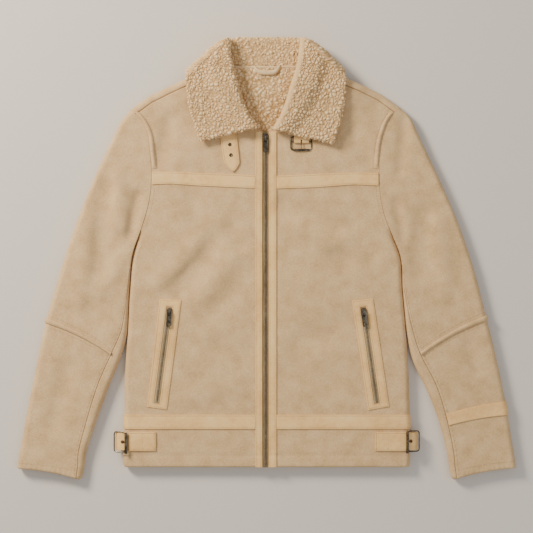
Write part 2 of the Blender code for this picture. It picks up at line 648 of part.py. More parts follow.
def build_hanger_loop():
    """The hanger loop, a flat strip that sags below the neck seam."""
    share = np.linspace(-1, 1, 9)
    x = 24.0 * share
    low = 330.0 + 13.0 * share**4
    wide = 8.5 - 1.5 * share**2
    xy = np.stack([np.stack([x * 0.93, low + wide], -1), np.stack([x, low], -1)])
    base = lift(xy[..., 0], xy[..., 1]) + CLOTH + SEAM + 1.6 * (1 - share**4)
    wall("hanger_loop", stacked(xy, base + 2.2), stacked(xy, base), "sherpa")


# ---------------------------------------------------------------- leather on the panels
# Yoke trims: top and bottom edge at places from the zip to the armhole.
YOKE_TRIM = {
    "left": table("out top bottom", [(0, 148, 125.5), (60, 152, 128), (124, 154, 131),
                                     (173, 156, 134.5), (212, 156, 133)]),
    "right": table("out top bottom", [(0, 148, 125), (90, 152.5, 128), (155, 154.6, 133),
                                      (203, 154, 131)]),
}
HEM_TRIM = (-281.0, -307.0)
POCKET = {
    "left": table("x y", [(-193, -73), (-154, -75), (-180, -272), (-216, -267)]),
    "right": table("x y", [(191, -72), (153, -76), (182, -273), (220, -266)]),
}
POCKET_ZIP = {"left": ((-175, -85), (-198, -257)), "right": ((173, -85), (197.5, -257))}
POCKET_SLOT = 5.2      # half width of the opening in a pocket's leather frame
SIDE_TAB = {"left": (200, 249, -312, -346), "right": (194, 251, -312, -346)}
THROAT_STRAP = table("y left right", [(232, -86.5, -55.6), (200, -81.5, -52), (172, -77.2, -49.2),
                                      (163, -69.5, -54), (156, -62, -60)])
THROAT_HOLES = ((-67, 205), (-65, 186))
THROAT_TAB = (48.5, 75.5, 209.8, 226)  # x ends, the bar's level and the hidden end
THROAT_BUCKLE = (61.5, 206.9, 39.9, 26.2)  # centre and outer size
BAR_Z = STACK + 1.8
WIRE = 1.3
HINGE = {"main": 24.2, "left": 25.2, "right": 25.2}    # heights of the pulls' axes
# Each zip pull: its axis in plan, and the point that its end lies towards.
PULLS = {
    "main": ((-2.4, 216.5), (-2.4, 192)),
    "left": ((-175.6, -97), (-177.2, -127)),
    "right": ((174.0, -97), (177.4, -127)),
}
PULL_LENGTH = 26.0
DROOP = math.radians(3.0)
SIDE_BAR = {"left": (-253.5, -313, -351), "right": (252.5, -311, -350)}


def closed_ring(name, rings, finish):
    """A solid from cross-sections that run round a loop, closed both ways."""
    count, size = rings.shape[:2]
    index = np.arange(count * size).reshape(count, size)
    ahead, aside = np.roll(index, -1, 0), np.roll(index, -1, 1)
    both = np.roll(ahead, -1, 1)
    faces = np.stack([index, aside, both, ahead], -1).reshape(-1, 4)
    return make_object(name, rings.reshape(-1, 3), faces, finish)


def strip_between(start, stop, columns):
    """Plan grid of two or more lines of points, given by their ends."""
    share = np.linspace(0, 1, columns)[:, None]
    return np.array([np.array(a) + share * (np.array(b) - a) for a, b in zip(start, stop)])


def build_trims(side):
    """Binding beside the zip, and the yoke and hem trims, of one side."""
    sign, edge = SIGN[side], FRONT_EDGE[side]
    outer_edge = edge + sign * BINDING_WIDTH[side]
    rows = np.concatenate([[HEM_Y], np.linspace(-300, FRONT_TOP_Y - 0.5, 17)])
    near = edge + sign * 0.2
    xy = np.array([[(x, y) for x in (near, (near + outer_edge) / 2, outer_edge)] for y in rows])
    laid("zip_binding_" + side, xy, LEATHER, "leather", above=0.5)
    trim, start = YOKE_TRIM[side], abs(outer_edge) + SEAM
    end = side_out(side, 145) - 1
    out = np.linspace(start, end, 10)
    top = np.interp(out, trim["out"], trim["top"])
    bottom = np.interp(out, trim["out"], trim["bottom"])
    xy = np.stack([np.stack([sign * out, y], -1) for y in (top, (top + bottom) / 2, bottom)])
    laid("yoke_trim_" + side, xy, LEATHER, "leather")
    y = np.linspace(*HEM_TRIM, 3)
    inner_out = side_out(side, y).mean() - FOLD - start
    reach = np.concatenate([[0.45], EDGE_STEPS[1:], QUARTER + np.linspace(0, inner_out, 4)[1:]])
    inward, z, off, up = over_fold(reach)
    out = side_out(side, y)[:, None] - inward
    point = np.stack([sign * out, np.broadcast_to(y[:, None], out.shape),
                      np.broadcast_to(z, out.shape)], -1)
    normal = np.stack([-sign * off, np.zeros_like(off), up], -1)
    wall("hem_trim_" + side, point + normal * (0.5 + LEATHER), point + normal * 0.5, "leather")


def build_pocket(side):
    """The leather frame of a slanting pocket, and the closed zip in its opening."""
    corner = np.stack([POCKET[side]["x"], POCKET[side]["y"]], -1)
    top, bottom = (np.array(end, float) for end in POCKET_ZIP[side])
    down = (bottom - top) / np.linalg.norm(bottom - top)
    aside = np.array([-down[1], down[0]]) * (1 if side == "right" else -1)
    slot = np.array([top - down * 4 + aside * POCKET_SLOT, top - down * 4 - aside * POCKET_SLOT,
                     bottom + down * 4 - aside * POCKET_SLOT,
                     bottom + down * 4 + aside * POCKET_SLOT])
    outer, inner = [], []
    for k, pieces in enumerate((1, 5, 1, 5)):
        share = np.linspace(0, 1, pieces + 1)[:-1, None]
        outer.append(corner[k] + share * (corner[(k + 1) % 4] - corner[k]))
        inner.append(slot[k] + share * (slot[(k + 1) % 4] - slot[k]))
    outer, inner = np.concatenate(outer), np.concatenate(inner)
    plan = np.stack([outer, outer, inner, inner], 1)
    z = top_z(plan[..., 0], plan[..., 1]) + SEAM
    z[:, 1:3] += LEATHER
    closed_ring("pocket_frame_" + side, stacked(plan, z), "leather")
    half = POCKET_SLOT - 0.4
    ends = [(top + down * step - aside * w, bottom + down * 3 - aside * w)
            for step, w in ((4, -half), (4, half))]
    xy = strip_between([e[0] for e in ends], [e[1] for e in ends], 6)
    laid("pocket_chain_" + side, xy, 1.2, "zip tape")


def build_zip():
    """The zip tape in the gap between the fronts, and the closed chain on it."""
    for name, left, right, low, thick, top, finish in (
            ("zip_tape", FRONT_EDGE["left"] + SEAM, FRONT_EDGE["right"] - SEAM, STACK - 1.4, 0.8,
             FRONT_TOP_Y - 1, "zip tape"),
            ("zip_chain", ZIP_X - 2.6, ZIP_X + 2.6, STACK - 0.3, 2.0, FRONT_TOP_Y - 24, "nickel")):
        xy = strip_between([(left, HEM_Y), (right, HEM_Y)], [(left, top), (right, top)], 2)
        wall(name, stacked(xy, low + thick), stacked(xy, low), finish)


def cut(target, cutters, operation="DIFFERENCE"):
    """Adds a Boolean for each cutter, which stays in the file as a wire."""
    for cutter in cutters:
        cutter.hide_render = True
        cutter.display_type = "WIRE"
        modifier = target.modifiers.new("cut_" + cutter.name, "BOOLEAN")
        modifier.operation = operation
        modifier.object = cutter
        modifier.solver = "EXACT"


def turned_bar(name, start, stop, radius, sides, finish):
    """A round bar between two points."""
    start, stop = np.array(start, float), np.array(stop, float)
    axis = (stop - start) / np.linalg.norm(stop - start)
    aside = np.cross(axis, (0, 0, 1.0) if abs(axis[2]) < 0.9 else (1.0, 0, 0))
    aside /= np.linalg.norm(aside)
    over = np.cross(axis, aside)
    turn = np.arange(sides) / sides * 2 * math.pi
    ring = radius * (np.cos(turn)[:, None] * aside + np.sin(turn)[:, None] * over)
    index = np.arange(sides)
    ahead = np.roll(index, -1)
    faces = [*np.stack([index, ahead, ahead + sides, index + sides], -1),
             index[::-1], index + sides]
    return make_object(name, np.concatenate([ring + start, ring + stop]), faces, finish)


def block(name, outline, low, high, finish):
    """An upright block from its plan outline."""
    low_ring = stacked(np.array(outline, float), low)
    high_ring = stacked(np.array(outline, float), high)
    count = len(outline)
    index = np.arange(count)
    ahead = np.roll(index, -1)
    faces = [*np.stack([index, ahead, ahead + count, index + count], -1),
             index[::-1], index + count]
    return make_object(name, np.concatenate([low_ring, high_ring]), faces, finish)


def wire_path(path, radius, sides=8):
    """Round cross-sections along a path of points, each square to the path."""
    path = np.array(path, float)
    along = np.gradient(path, axis=0)
    along /= np.linalg.norm(along, axis=1)[:, None]
    aside = np.cross(along, (1.0, 0, 0))
    aside /= np.linalg.norm(aside, axis=1)[:, None]
    over = np.cross(along, aside)
    turn = np.arange(sides) / sides * 2 * math.pi
    return path[:, None] + radius * (np.cos(turn)[None, :, None] * aside[:, None]
                                     + np.sin(turn)[None, :, None] * over[:, None])


def capped(name, sections, finish, at=(0, 0, 0)):
    """A solid from cross-sections along a path, closed at both ends."""
    count, size = sections.shape[:2]
    index = np.arange(count * size).reshape(count, size)
    aside = np.roll(index, -1, 1)
    sides = np.stack([index[:-1], aside[:-1], aside[1:], index[1:]], -1).reshape(-1, 4)
    faces = [*sides, index[0][::-1], index[-1]]
    return make_object(name, sections.reshape(-1, 3), faces, finish, at)


def ring_wire(name, centre, size, slope, radius, finish, corner=4.5):
    """A rounded rectangle of wire. It is level along Y and slopes down along X."""
    half = np.array(size) / 2 - radius
    turn = np.radians([0, 30, 60, 90])
    arc = np.stack([np.cos(turn), np.sin(turn)], -1) * corner
    loop = []
    for k, (sx, sy) in enumerate(((1, 1), (-1, 1), (-1, -1), (1, -1))):
        spin = math.radians(90 * k)
        spun = arc @ np.array([[math.cos(spin), math.sin(spin)],
                               [-math.sin(spin), math.cos(spin)]])
        loop.append(spun + (half - corner) * (sx, sy))
    loop = np.concatenate(loop)
    facing = loop - np.roll(loop, 1, 0)
    facing = facing + np.roll(facing, -1, 0)
    facing /= np.linalg.norm(facing, axis=1)[:, None]
    out = np.stack([facing[:, 1], -facing[:, 0]], -1)
    turn = np.arange(8) / 8 * 2 * math.pi
    plan = loop[:, None] + radius * np.cos(turn)[None, :, None] * out[:, None]
    z = centre[2] + slope * plan[..., 0] + radius * np.sin(turn)
    return closed_ring(name, stacked(plan + np.array(centre[:2]), z), finish)


def build_buckles():
    """Throat buckle with its turning prong, and the two fastened side buckles."""
    x, y, wide, high = THROAT_BUCKLE
    left, right, bar_y, end_y = THROAT_TAB
    frame = ring_wire("throat_buckle", (x, y, BAR_Z), (wide, high), 0, WIRE, "nickel")
    rail_y = y - high / 2 + WIRE
    bar = turned_bar("throat_bar", (x - wide / 2 + 1, bar_y, BAR_Z),
                     (x + wide / 2 - 1, bar_y, BAR_Z), 1.0, 10, "nickel")
    roller = turned_bar("throat_roller", (x - 14, rail_y, BAR_Z + 0.5),
                        (x + 14, rail_y, BAR_Z + 0.5), 2.1, 12, "nickel")
    cut(frame, [bar, roller], "UNION")
    middle = 2.0
    bend = np.radians([68, 79, 90, 101])
    hook = np.stack([np.full(4, x + 0.2), bar_y + middle * np.cos(bend),
                     BAR_Z + middle * np.sin(bend)], -1)
    tip = [(x + 0.2, rail_y + 2, BAR_Z + 3.75), (x + 0.2, rail_y - 1.2, BAR_Z + 3.75)]
    capped("throat_prong", wire_path(np.concatenate([hook, tip]), 0.75), "nickel",
           (x + 0.2, bar_y, BAR_Z))
    curl = np.radians([190, 160, 130, 100])
    section = [(bar_y + r * math.cos(a), BAR_Z + r * math.sin(a)) for r in (1.4, 2.9)
               for a in curl]
    inner = np.array([*section[:4], (bar_y + 3, BAR_Z + 1.4), (end_y, BAR_Z + 1.4)])
    outer = np.array([*section[4:], (bar_y + 3, BAR_Z + 2.9), (end_y, BAR_Z + 2.9)])
    across = np.linspace(left, right, 3)
    grids = [np.stack([np.broadcast_to(across[:, None], (3, 6)),
                       np.broadcast_to(line[:, 0], (3, 6)),
                       np.broadcast_to(line[:, 1], (3, 6))], -1) for line in (outer, inner)]
    tab = wall("throat_tab", grids[0], grids[1], "leather")
    slot = block("throat_slot", [(x - 1.2, bar_y - 9), (x + 1.6, bar_y - 9),
                                 (x + 1.6, bar_y + 4), (x - 1.2, bar_y + 4)],
                 BAR_Z - 4, BAR_Z + 6, "leather")
    cut(tab, [slot])
    for side in SIGN:
        sign = SIGN[side]
        bar_x, top, bottom = SIDE_BAR[side]
        middle_y = (top + bottom) / 2 + 2
        outward = 11.2
        slope = -0.44 * sign
        frame = ring_wire("side_buckle_" + side, (bar_x + sign * outward, middle_y, 20.2),
                          (23.4, 39), slope, 1.2, "nickel")
        roller = turned_bar("side_roller_" + side, (bar_x, top, 24.6), (bar_x, bottom, 24.6),
                            2.5, 12, "nickel")
        tip = turned_bar("side_prong_" + side, (bar_x, middle_y, 24.8),
                         (bar_x + sign * 7.2, middle_y, 20.3), 0.9, 8, "nickel")
        cut(frame, [roller, tip], "UNION")


# The strap of a side buckle: centre line outwards from the buckle's bar and up.
SIDE_LOOP = table("out up", [(0.0, 20.3), (4, 20.2), (8, 19.2), (11.9, 17), (14.5, 13.8),
                             (15.4, 10.2), (14.3, 6.9), (11.3, 4.6), (7.2, 3.9)])


def build_straps():
    """Throat strap with its two holes, and the tab and the strap of each side buckle."""
    strap = THROAT_STRAP
    xy = np.stack([np.stack([strap[end], strap["y"]], -1) for end in ("left", "right")])
    middle = xy.mean(0)[None]
    made = laid("throat_strap", np.concatenate([xy[:1], middle, xy[1:]]), STRAP, "leather")
    cut(made, [turned_bar("throat_hole_{}".format(k), (x, y, STACK - 5), (x, y, STACK + 9), 2.4,
                          12, "leather") for k, (x, y) in enumerate(THROAT_HOLES)])
    for side in SIGN:
        sign = SIGN[side]
        bar_x, top_y, bottom_y = SIDE_BAR[side]
        start, stop, top, bottom = SIDE_TAB[side]
        xy = strip_between([(sign * start, top), (sign * start, bottom)],
                           [(sign * stop, top), (sign * stop, bottom)], 4)
        laid("side_tab_" + side, xy, STRAP, "leather")
        path = np.stack([SIDE_LOOP["out"], SIDE_LOOP["up"]], -1)
        along = np.gradient(path, axis=0)
        along /= np.linalg.norm(along, axis=1)[:, None]
        normal = np.stack([-along[:, 1], along[:, 0]], -1)
        grids = []
        for shift in (-STRAP / 2, STRAP / 2):
            line = path + normal * shift
            grids.append(np.array([[(bar_x + sign * out, y, z) for out, z in line]
                                   for y in (top - 1, (top + bottom) / 2, bottom + 1)]))
        strap = wall("side_strap_" + side, grids[1], grids[0], "leather")
        middle_y = (top_y + bottom_y) / 2 + 2
        hole = turned_bar("side_hole_" + side, (bar_x + sign * 6.3, middle_y, 14),
                          (bar_x + sign * 6.3, middle_y, 30), 3.3, 12, "leather")
        cut(strap, [hole])


def build_zip_pull(name, key, low):
    """A slider, and the pull that turns on the bar under the slider's arch."""
    (x, y), (end_x, end_y) = PULLS[key]
    z = HINGE[key]
    down = np.array([end_x - x, end_y - y])
    down /= np.linalg.norm(down)
    across = np.array([-down[1], down[0]])

    def spot(along, aside):
        """A plan point by its distances along the pull and across it."""
        return np.array([x, y]) + along * down + aside * across

    deck = z - 2.2
    outline = [spot(*at) for at in ((-8, -3.4), (-8, 3.4), (-5.5, 4.7), (2, 4.7), (8.5, 3.4),
                                    (8.5, -3.4), (2, -4.7), (-5.5, -4.7))]
    slider = block(name + "_slider", outline, low, deck, "nickel")
    sections = []
    for along, up in ((5.9, -1.0), (5.6, 2.4), (4.4, 4.4), (-3.4, 4.4), (-4.9, 2.4), (-5.2, -1.0)):
        inward = 1.4
        inner_along = along - math.copysign(inward, along)
        inner_up = min(up, 4.4 - 1.2)
        sections.append([(*spot(along, -1.3), deck + up), (*spot(along, 1.3), deck + up),
                         (*spot(inner_along, 1.3), deck + inner_up),
                         (*spot(inner_along, -1.3), deck + inner_up)])
    arch = capped(name + "_arch", np.array(sections), "nickel")
    cut(slider, [arch], "UNION")

    def tilted(points, up):
        """Plan points of the lying pull, with its droop."""
        points = np.array(points, float)
        along = points[:, 0] * math.cos(DROOP) + up * math.sin(DROOP)
        height = -points[:, 0] * math.sin(DROOP) + up * math.cos(DROOP)
        plan = np.array([spot(a, s) for a, s in zip(along, points[:, 1])])
        return np.concatenate([plan, (z + height)[:, None]], 1)

    def plate(title, outline, half):
        """An upright plate of the lying pull, with its origin on the axis."""
        count = len(outline)
        index = np.arange(count)
        ahead = np.roll(index, -1)
        faces = [*np.stack([index, ahead, ahead + count, index + count], -1),
                 index[::-1], index + count]
        return make_object(title, np.concatenate([tilted(outline, -half), tilted(outline, half)]),
                           faces, "nickel", (x, y, z))

    end = PULL_LENGTH
    body = plate(name + "_pull", [(-0.75, -3.8), (0, -4.2), (9, -4.2), (15, -3.8), (18.5, -4.5),
                                  (end - 2, -4.2), (end, -2.6), (end, 2.6), (end - 2, 4.2),
                                  (18.5, 4.5), (15, 3.8), (9, 4.2), (0, 4.2), (-0.75, 3.8)], 0.75)
    window = plate(name + "_window", [(0.75, -2.2), (7.6, -2.2), (7.6, 2.2), (0.75, 2.2)], 3)
    turn = np.arange(10) / 10 * 2 * math.pi
    hole = plate(name + "_hole", np.stack([21.3 + 2.2 * np.cos(turn), 2.2 * np.sin(turn)], -1), 3)
    cut(body, [window, hole])


# Each armhole welt: points on the body beside the sleeve, and how far it stands up.
ARMHOLE = {
    "left": table("out y", [(212.5, 252), (209.5, 235), (206, 218), (203, 200), (200.5, 182),
                            (199, 164)]),
    "right": table("out y", [(206, 252), (203, 235), (199.5, 218), (197, 200), (195, 182),
                             (193.5, 164)]),
}
WELT_STEPS = table("in up", [(-3.2, 0.3), (-2.2, 1.5), (-0.6, 2.2), (1.0, 2.1), (2.6, 1.2),
                             (3.4, 0.3)])


def build_armhole_welt(side):
    """The raised seam along the armhole, on the body."""
    sign = SIGN[side]
    spine = np.stack([sign * ARMHOLE[side]["out"], ARMHOLE[side]["y"]], -1)
    shift = np.stack([-sign * WELT_STEPS["in"], 0 * WELT_STEPS["in"]], -1)
    plan = spine[:, None] + shift[None]
    floor = top_z(plan[..., 0], plan[..., 1]) + SEAM
    wall("armhole_welt_" + side, stacked(plan, floor + WELT_STEPS["up"]),
         stacked(plan, floor), "suede")


def main():
    """Clears the scene, then builds every piece."""
    for old in list(bpy.data.objects):
        bpy.data.objects.remove(old)
    build_back()
    build_forearm_band()
    build_collar_back()
    build_hanger_loop()
    build_zip()
    build_straps()
    build_buckles()
    build_zip_pull("main_zip", "main", STACK - 0.2)
    for side in SIGN:
        build_fronts(side)
        build_sleeve(side)
        build_collar_leaf(side)
        build_trims(side)
        build_pocket(side)
        build_zip_pull("pocket_" + side, side, STACK + 2.4)
        build_armhole_welt(side)


main()
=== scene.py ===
"""An aviator jacket of faux shearling, laid flat on its back and seen from above.

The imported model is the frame. Every sub-assembly is a class that works out its surfaces on
grids of two parameters, and dresses them in procedural finishes. Lengths in the tables and
formulas are millimetres; meshes are written in metres.
"""

import logging
import math
from dataclasses import dataclass, field
from enum import Enum
from typing import Callable

import bmesh
import bpy
import numpy as np
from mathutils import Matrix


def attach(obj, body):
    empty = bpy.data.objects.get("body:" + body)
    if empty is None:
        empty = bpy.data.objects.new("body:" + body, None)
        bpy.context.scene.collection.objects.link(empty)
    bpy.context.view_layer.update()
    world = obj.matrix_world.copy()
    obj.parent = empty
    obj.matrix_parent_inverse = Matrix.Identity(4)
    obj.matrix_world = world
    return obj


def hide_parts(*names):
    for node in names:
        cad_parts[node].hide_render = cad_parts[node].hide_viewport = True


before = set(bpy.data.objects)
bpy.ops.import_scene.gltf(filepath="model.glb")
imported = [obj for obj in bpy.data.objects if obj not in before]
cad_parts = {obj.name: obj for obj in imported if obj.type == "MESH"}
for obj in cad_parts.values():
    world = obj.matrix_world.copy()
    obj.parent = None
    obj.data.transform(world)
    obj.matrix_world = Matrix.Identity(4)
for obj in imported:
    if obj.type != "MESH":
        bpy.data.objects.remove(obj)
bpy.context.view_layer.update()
LOG = logging.getLogger("jacket")

MM = 0.001
CLOTH = 8.0            # shearling: suede face and pile together
HOLLOW = 2.6           # air between the two layers of a flattened tube
STACK = 2 * CLOTH + HOLLOW
FOLD = STACK / 2       # outer radius of the fold along an edge
QUARTER = FOLD * math.pi / 2
SEAM = 0.3
LEATHER = 1.5
STRAP = 2.6
LEATHER_EDGE = 0.75    # radius of a strap's or a trim's edge
FURROW, FURROW_WIDTH = 0.42, 0.9   # what a row of stitches presses into leather
THREAD_SUNK = 0.2      # how deep its threads lie in it
HEM_EDGE = 3.8         # radius of the cloth's turned edge at hem and cuff
CREASE_GAIN, CREASE_LIMIT = 2.8, 5.4   # heights in the table of creases to heights laid
NEAR = (0, 0.25, 0.7, 1.4, 2.4, 3.6)   # stations by an edge, close enough to round it
SHARP = math.radians(50)   # an edge bent more than this is drawn as a crisp one
HEM_Y, HEM_SEAM_Y, YOKE_SEAM_Y, FRONT_TOP_Y = -376.0, -294.0, 141.0, 229.0
HEM_STITCH_Y = -354.0
ZIP_X = -2.4
COLLAR_LIFT, UPPER_LIFT = CLOTH + 0.7, 1.08
COLLAR_TOP_Y, COLLAR_BACK_EDGE_Y, NECK_SEAM_Y = 400.0, 316.0, 346.0
LIFT_Y = (236, 312)    # where the upper layer climbs onto the collar's back fall
BODY = "jacket"
Array = np.ndarray
Columns = dict[str, Array]
Piece = bpy.types.Object
Tree = bpy.types.NodeTree
Socket = bpy.types.NodeSocket


class Side(Enum):
    """The picture's left or right half of the jacket."""

    LEFT = "left"
    RIGHT = "right"

    @property
    def sign(self) -> float:
        """-1 on the left of the zip, 1 on the right."""
        return -1.0 if self is Side.LEFT else 1.0


# Where each front ends beside the zip, and how wide the leather on it is.
FRONT_EDGE = {Side.LEFT: -8.1, Side.RIGHT: 2.8}
BINDING_WIDTH = {Side.LEFT: 12.6, Side.RIGHT: 14.2}


def table(names: str, rows: list[tuple[float, ...]]) -> Columns:
    """Columns of a short table by name, as arrays."""
    return dict(zip(names.split(), np.array(rows, float).T))


def both(names: str, left: list[tuple[float, ...]],
         right: list[tuple[float, ...]]) -> dict[str, Columns]:
    """The tables of both sides, which have the same columns."""
    return {"left": table(names, left), "right": table(names, right)}


# ---- finishes
def linear(value: str) -> tuple[float, float, float, float]:
    """An sRGB hex colour as linear RGBA: each channel to the power that sRGB gives it.

    Args:
        value: The colour, as #RRGGBB.

    Returns:
        Red, green and blue, and an alpha of 1.
    """
    channel = np.array([int(value[i:i + 2], 16) for i in (1, 3, 5)]) / 255
    flat = np.where(channel <= 0.04045, channel / 12.92, ((channel + 0.055) / 1.055) ** 2.4)
    return (*map(float, flat), 1.0)


def add_node(tree: Tree, kind: str, inputs: dict | None = None,
             **settings: object) -> bpy.types.Node:
    """Adds one node to a tree.

    Args:
        tree: The node tree.
        kind: The node's type.
        inputs: Values, or sockets to link, by the name or number of the node's input.
        settings: The node's own properties.

    Returns:
        The node.
    """
    node = tree.nodes.new(kind)
    for name, value in settings.items():
        setattr(node, name, value)
    for name, value in (inputs or {}).items():
        if isinstance(value, Socket):
            tree.links.new(value, node.inputs[name])
        else:
            node.inputs[name].default_value = value
    return node


@dataclass(frozen=True)
class Finish:
    """What all finishes share: a name, a shader's plain values and a colour ramp."""

    name: str
    slot: str
    dark: str
    base: str
    light: str
    roughness: float
    metallic: float = 0.0
    sheen: float = 0.0
    patches_mm: float = 30.0
    fleck_mm: float = 3.0
    fleck_share: float = 0.5
    bump_mm: float = 0.08
    grain_mm: float = 0.8
    coat: float = 0.0
    relief: str = ""

    def grain(self, tree: Tree, place: Socket) -> Socket:
        """Height pattern of the surface: fine noise, one grain long."""
        return add_node(tree, "ShaderNodeTexNoise", {
            "Vector": place, "Scale": 1 / (self.grain_mm * MM), "Detail": 3.0,
            "Roughness": 0.6}).outputs["Fac"]

    def tone(self, tree: Tree, place: Socket) -> Socket:
        """Share of light to dark: broad patches mixed with fine flecks.

        Args:
            tree: The material's node tree.
            place: The socket of the object's coordinates.

        Returns:
            The socket that has the share.
        """
        patch = add_node(tree, "ShaderNodeTexNoise", {
            "Vector": place, "Scale": 1 / (self.patches_mm * MM), "Detail": 3.0})
        fleck = add_node(tree, "ShaderNodeTexNoise", {
            "Vector": place, "Scale": 1 / (self.fleck_mm * MM), "Detail": 2.0,
            "Roughness": 0.7})
        return add_node(tree, "ShaderNodeMix", {
            0: self.fleck_share, 2: patch.outputs["Fac"], 3: fleck.outputs["Fac"]},
            data_type="FLOAT").outputs[0]

    def make(self) -> bpy.types.Material:
        """Builds the material: tone through a ramp of three colours, and a bump.

        Returns:
            The material, made once and then found by its name.
        """
        found = bpy.data.materials.get(self.name)
        if found:
            return found
        made = bpy.data.materials.new(self.name)
        made.use_nodes = True
        tree = made.node_tree
        shader = tree.nodes["Principled BSDF"]
        place = add_node(tree, "ShaderNodeTexCoord").outputs["Object"]
        # A finish that names a height attribute takes its tone from it: painted shade where it is
        # low, painted highlight where it is high.
        if self.relief:
            tone = add_node(tree, "ShaderNodeAttribute", attribute_name=self.relief).outputs["Fac"]
        else:
            tone = self.tone(tree, place)
        ramp = add_node(tree, "ShaderNodeValToRGB", {"Fac": tone})
        stops = (0.32, 0.5, 0.68) if not self.relief else (0.05, 0.45, 0.95)
        ramp.color_ramp.elements.new(stops[1])
        for element, at, colour in zip(ramp.color_ramp.elements, stops,
                                       (self.dark, self.base, self.light)):
            element.position, element.color = at, linear(colour)
        tree.links.new(ramp.outputs["Color"], shader.inputs["Base Color"])
        bump = add_node(tree, "ShaderNodeBump", {
            "Height": self.grain(tree, place), "Strength": 1.0, "Distance": self.bump_mm * MM})
        tree.links.new(bump.outputs["Normal"], shader.inputs["Normal"])
        for name, value in {"Roughness": self.roughness, "Metallic": self.metallic,
                            "Sheen Weight": self.sheen, "Sheen Roughness": 0.6,
                            "Coat Weight": self.coat, "Coat Roughness": 0.3}.items():
            shader.inputs[name].default_value = value
        return made


@dataclass(frozen=True)
class CellFinish(Finish):
    """A finish whose grain is made of cells, as on leather or hammered metal."""

    def grain(self, tree: Tree, place: Socket) -> Socket:
        """Height pattern: rounded cells parted by narrow furrows."""
        cells = add_node(tree, "ShaderNodeTexVoronoi", {
            "Vector": place, "Scale": 1 / (self.grain_mm * MM)}, feature="DISTANCE_TO_EDGE")
        return add_node(tree, "ShaderNodeMapRange", {
            "Value": cells.outputs["Distance"], "From Min": 0.0, "From Max": 0.3}).outputs[0]


@dataclass(frozen=True)
class WovenFinish(Finish):
    """A woven finish: warp and weft threads that cross."""

    def grain(self, tree: Tree, place: Socket) -> Socket:
        """Height pattern: two sets of bands, the higher of which shows at each point."""
        bands = [add_node(tree, "ShaderNodeTexWave", {
            "Vector": place, "Scale": 0.31 / (self.grain_mm * MM), "Distortion": 0.4},
            bands_direction=way).outputs["Fac"] for way in ("X", "Y")]
        return add_node(tree, "ShaderNodeMath", {0: bands[0], 1: bands[1]},
                        operation="MAXIMUM").outputs[0]


# Brushed microfibre suede: a dull nap, mottled where fingers laid it one way or the other.
SUEDE = Finish("brushed_microfibre_suede", "suede", "#BC996A", "#D0AE7E", "#DFC092", 0.96,
               sheen=0.04, patches_mm=24, fleck_mm=2.2, fleck_share=0.55, bump_mm=0.4,
               grain_mm=1.4)
# Smooth coated leather: a soft sheen and a fine pebble, drawn 1.2 mm wide so that it shows.
LEATHER_TRIM = CellFinish("smooth_cream_leather", "leather", "#E0B06A", "#F0C47E", "#F6D190",
                          0.5, patches_mm=45, fleck_mm=6, fleck_share=0.35, bump_mm=0.05,
                          grain_mm=1.2, coat=0.08)
# Curled sherpa pile, coloured by the pile's height: painted highlight on the crests and painted
# shade in the gaps between the curls.
SHERPA = Finish("curled_sherpa_pile", "sherpa", "#A67E48", "#D9B480", "#F0D5A6", 1.0,
                sheen=0.1, bump_mm=0.35, grain_mm=1.1, relief="pile")
# Facing and loop in the neck: the suede's smooth pale backing.
FACING = Finish("pale_suede_facing", "sherpa", "#C8A878", "#DCBD8E", "#E8CDA2", 0.85,
                sheen=0.05, patches_mm=20, fleck_mm=3, bump_mm=0.2, grain_mm=1.2)
# Woven zip tape: a matte ribbed ribbon.
TAPE = WovenFinish("woven_zip_tape", "zip_tape", "#8A7657", "#A58F6C", "#BDA782", 0.9,
                   fleck_mm=2, bump_mm=0.15, grain_mm=0.9)
# Antique nickel: dark plating, rubbed brighter in random patches.
NICKEL = CellFinish("antique_nickel_plate", "nickel", "#39332B", "#5F574B", "#938A7B", 0.34,
                    metallic=1.0, patches_mm=7, fleck_mm=1.2, fleck_share=0.4, bump_mm=0.02,
                    grain_mm=0.7)
# Zip teeth of the same plating, a little duller with lint and dust.
TEETH = CellFinish("antique_nickel_teeth", "nickel", "#5E5242", "#80725D", "#B0A189", 0.42,
                   metallic=0.6, patches_mm=9, fleck_mm=1.5, bump_mm=0.02, grain_mm=0.7)
# Waxed polyester thread: a shade darker than the leather, so that stitches read as dashes.
THREAD = Finish("waxed_thread", "leather", "#A98C5E", "#BFA374", "#D3BA8D", 0.6,
                fleck_mm=1, bump_mm=0.05, grain_mm=0.5)
# Suede thread, near the cloth's own colour.
SUEDE_THREAD = Finish("suede_thread", "suede", "#937B5A", "#A98F6C", "#BBA27E", 0.8,
                      fleck_mm=1, bump_mm=0.05, grain_mm=0.5)


# ---- sizes of the cloth
# A row for each level of the body: its half width and how far its edge is folded round,
# from 90 degrees on the side seam to 0 on the armhole, where the sleeve is sewn on.
SIDE = both("y out fold", [
    (-376, 258, 90), (-362, 260, 90), (-300, 257, 90), (-224, 257, 90), (-129, 251, 90),
    (-50, 247, 90), (8, 241, 90), (32, 234, 72), (54, 226, 0), (69, 221, 0),
    (109, 211, 0), (150, 208, 0), (190, 211, 0), (238, 221, 0), (252, 229.5, 0),
    (262, 239, 0), (269, 245.6, 0)], [
    (-376, 257, 90), (-362, 258, 90), (-300, 257.5, 90), (-224, 256, 90),
    (-152, 252, 90), (-58, 244, 90), (10, 238, 90), (33, 229, 72), (54, 220, 0),
    (69, 214, 0), (100, 206, 0), (140, 202, 0), (177, 203, 0), (226, 211, 0),
    (252, 222, 0), (266, 232.5, 0), (272.8, 239.3, 0)])

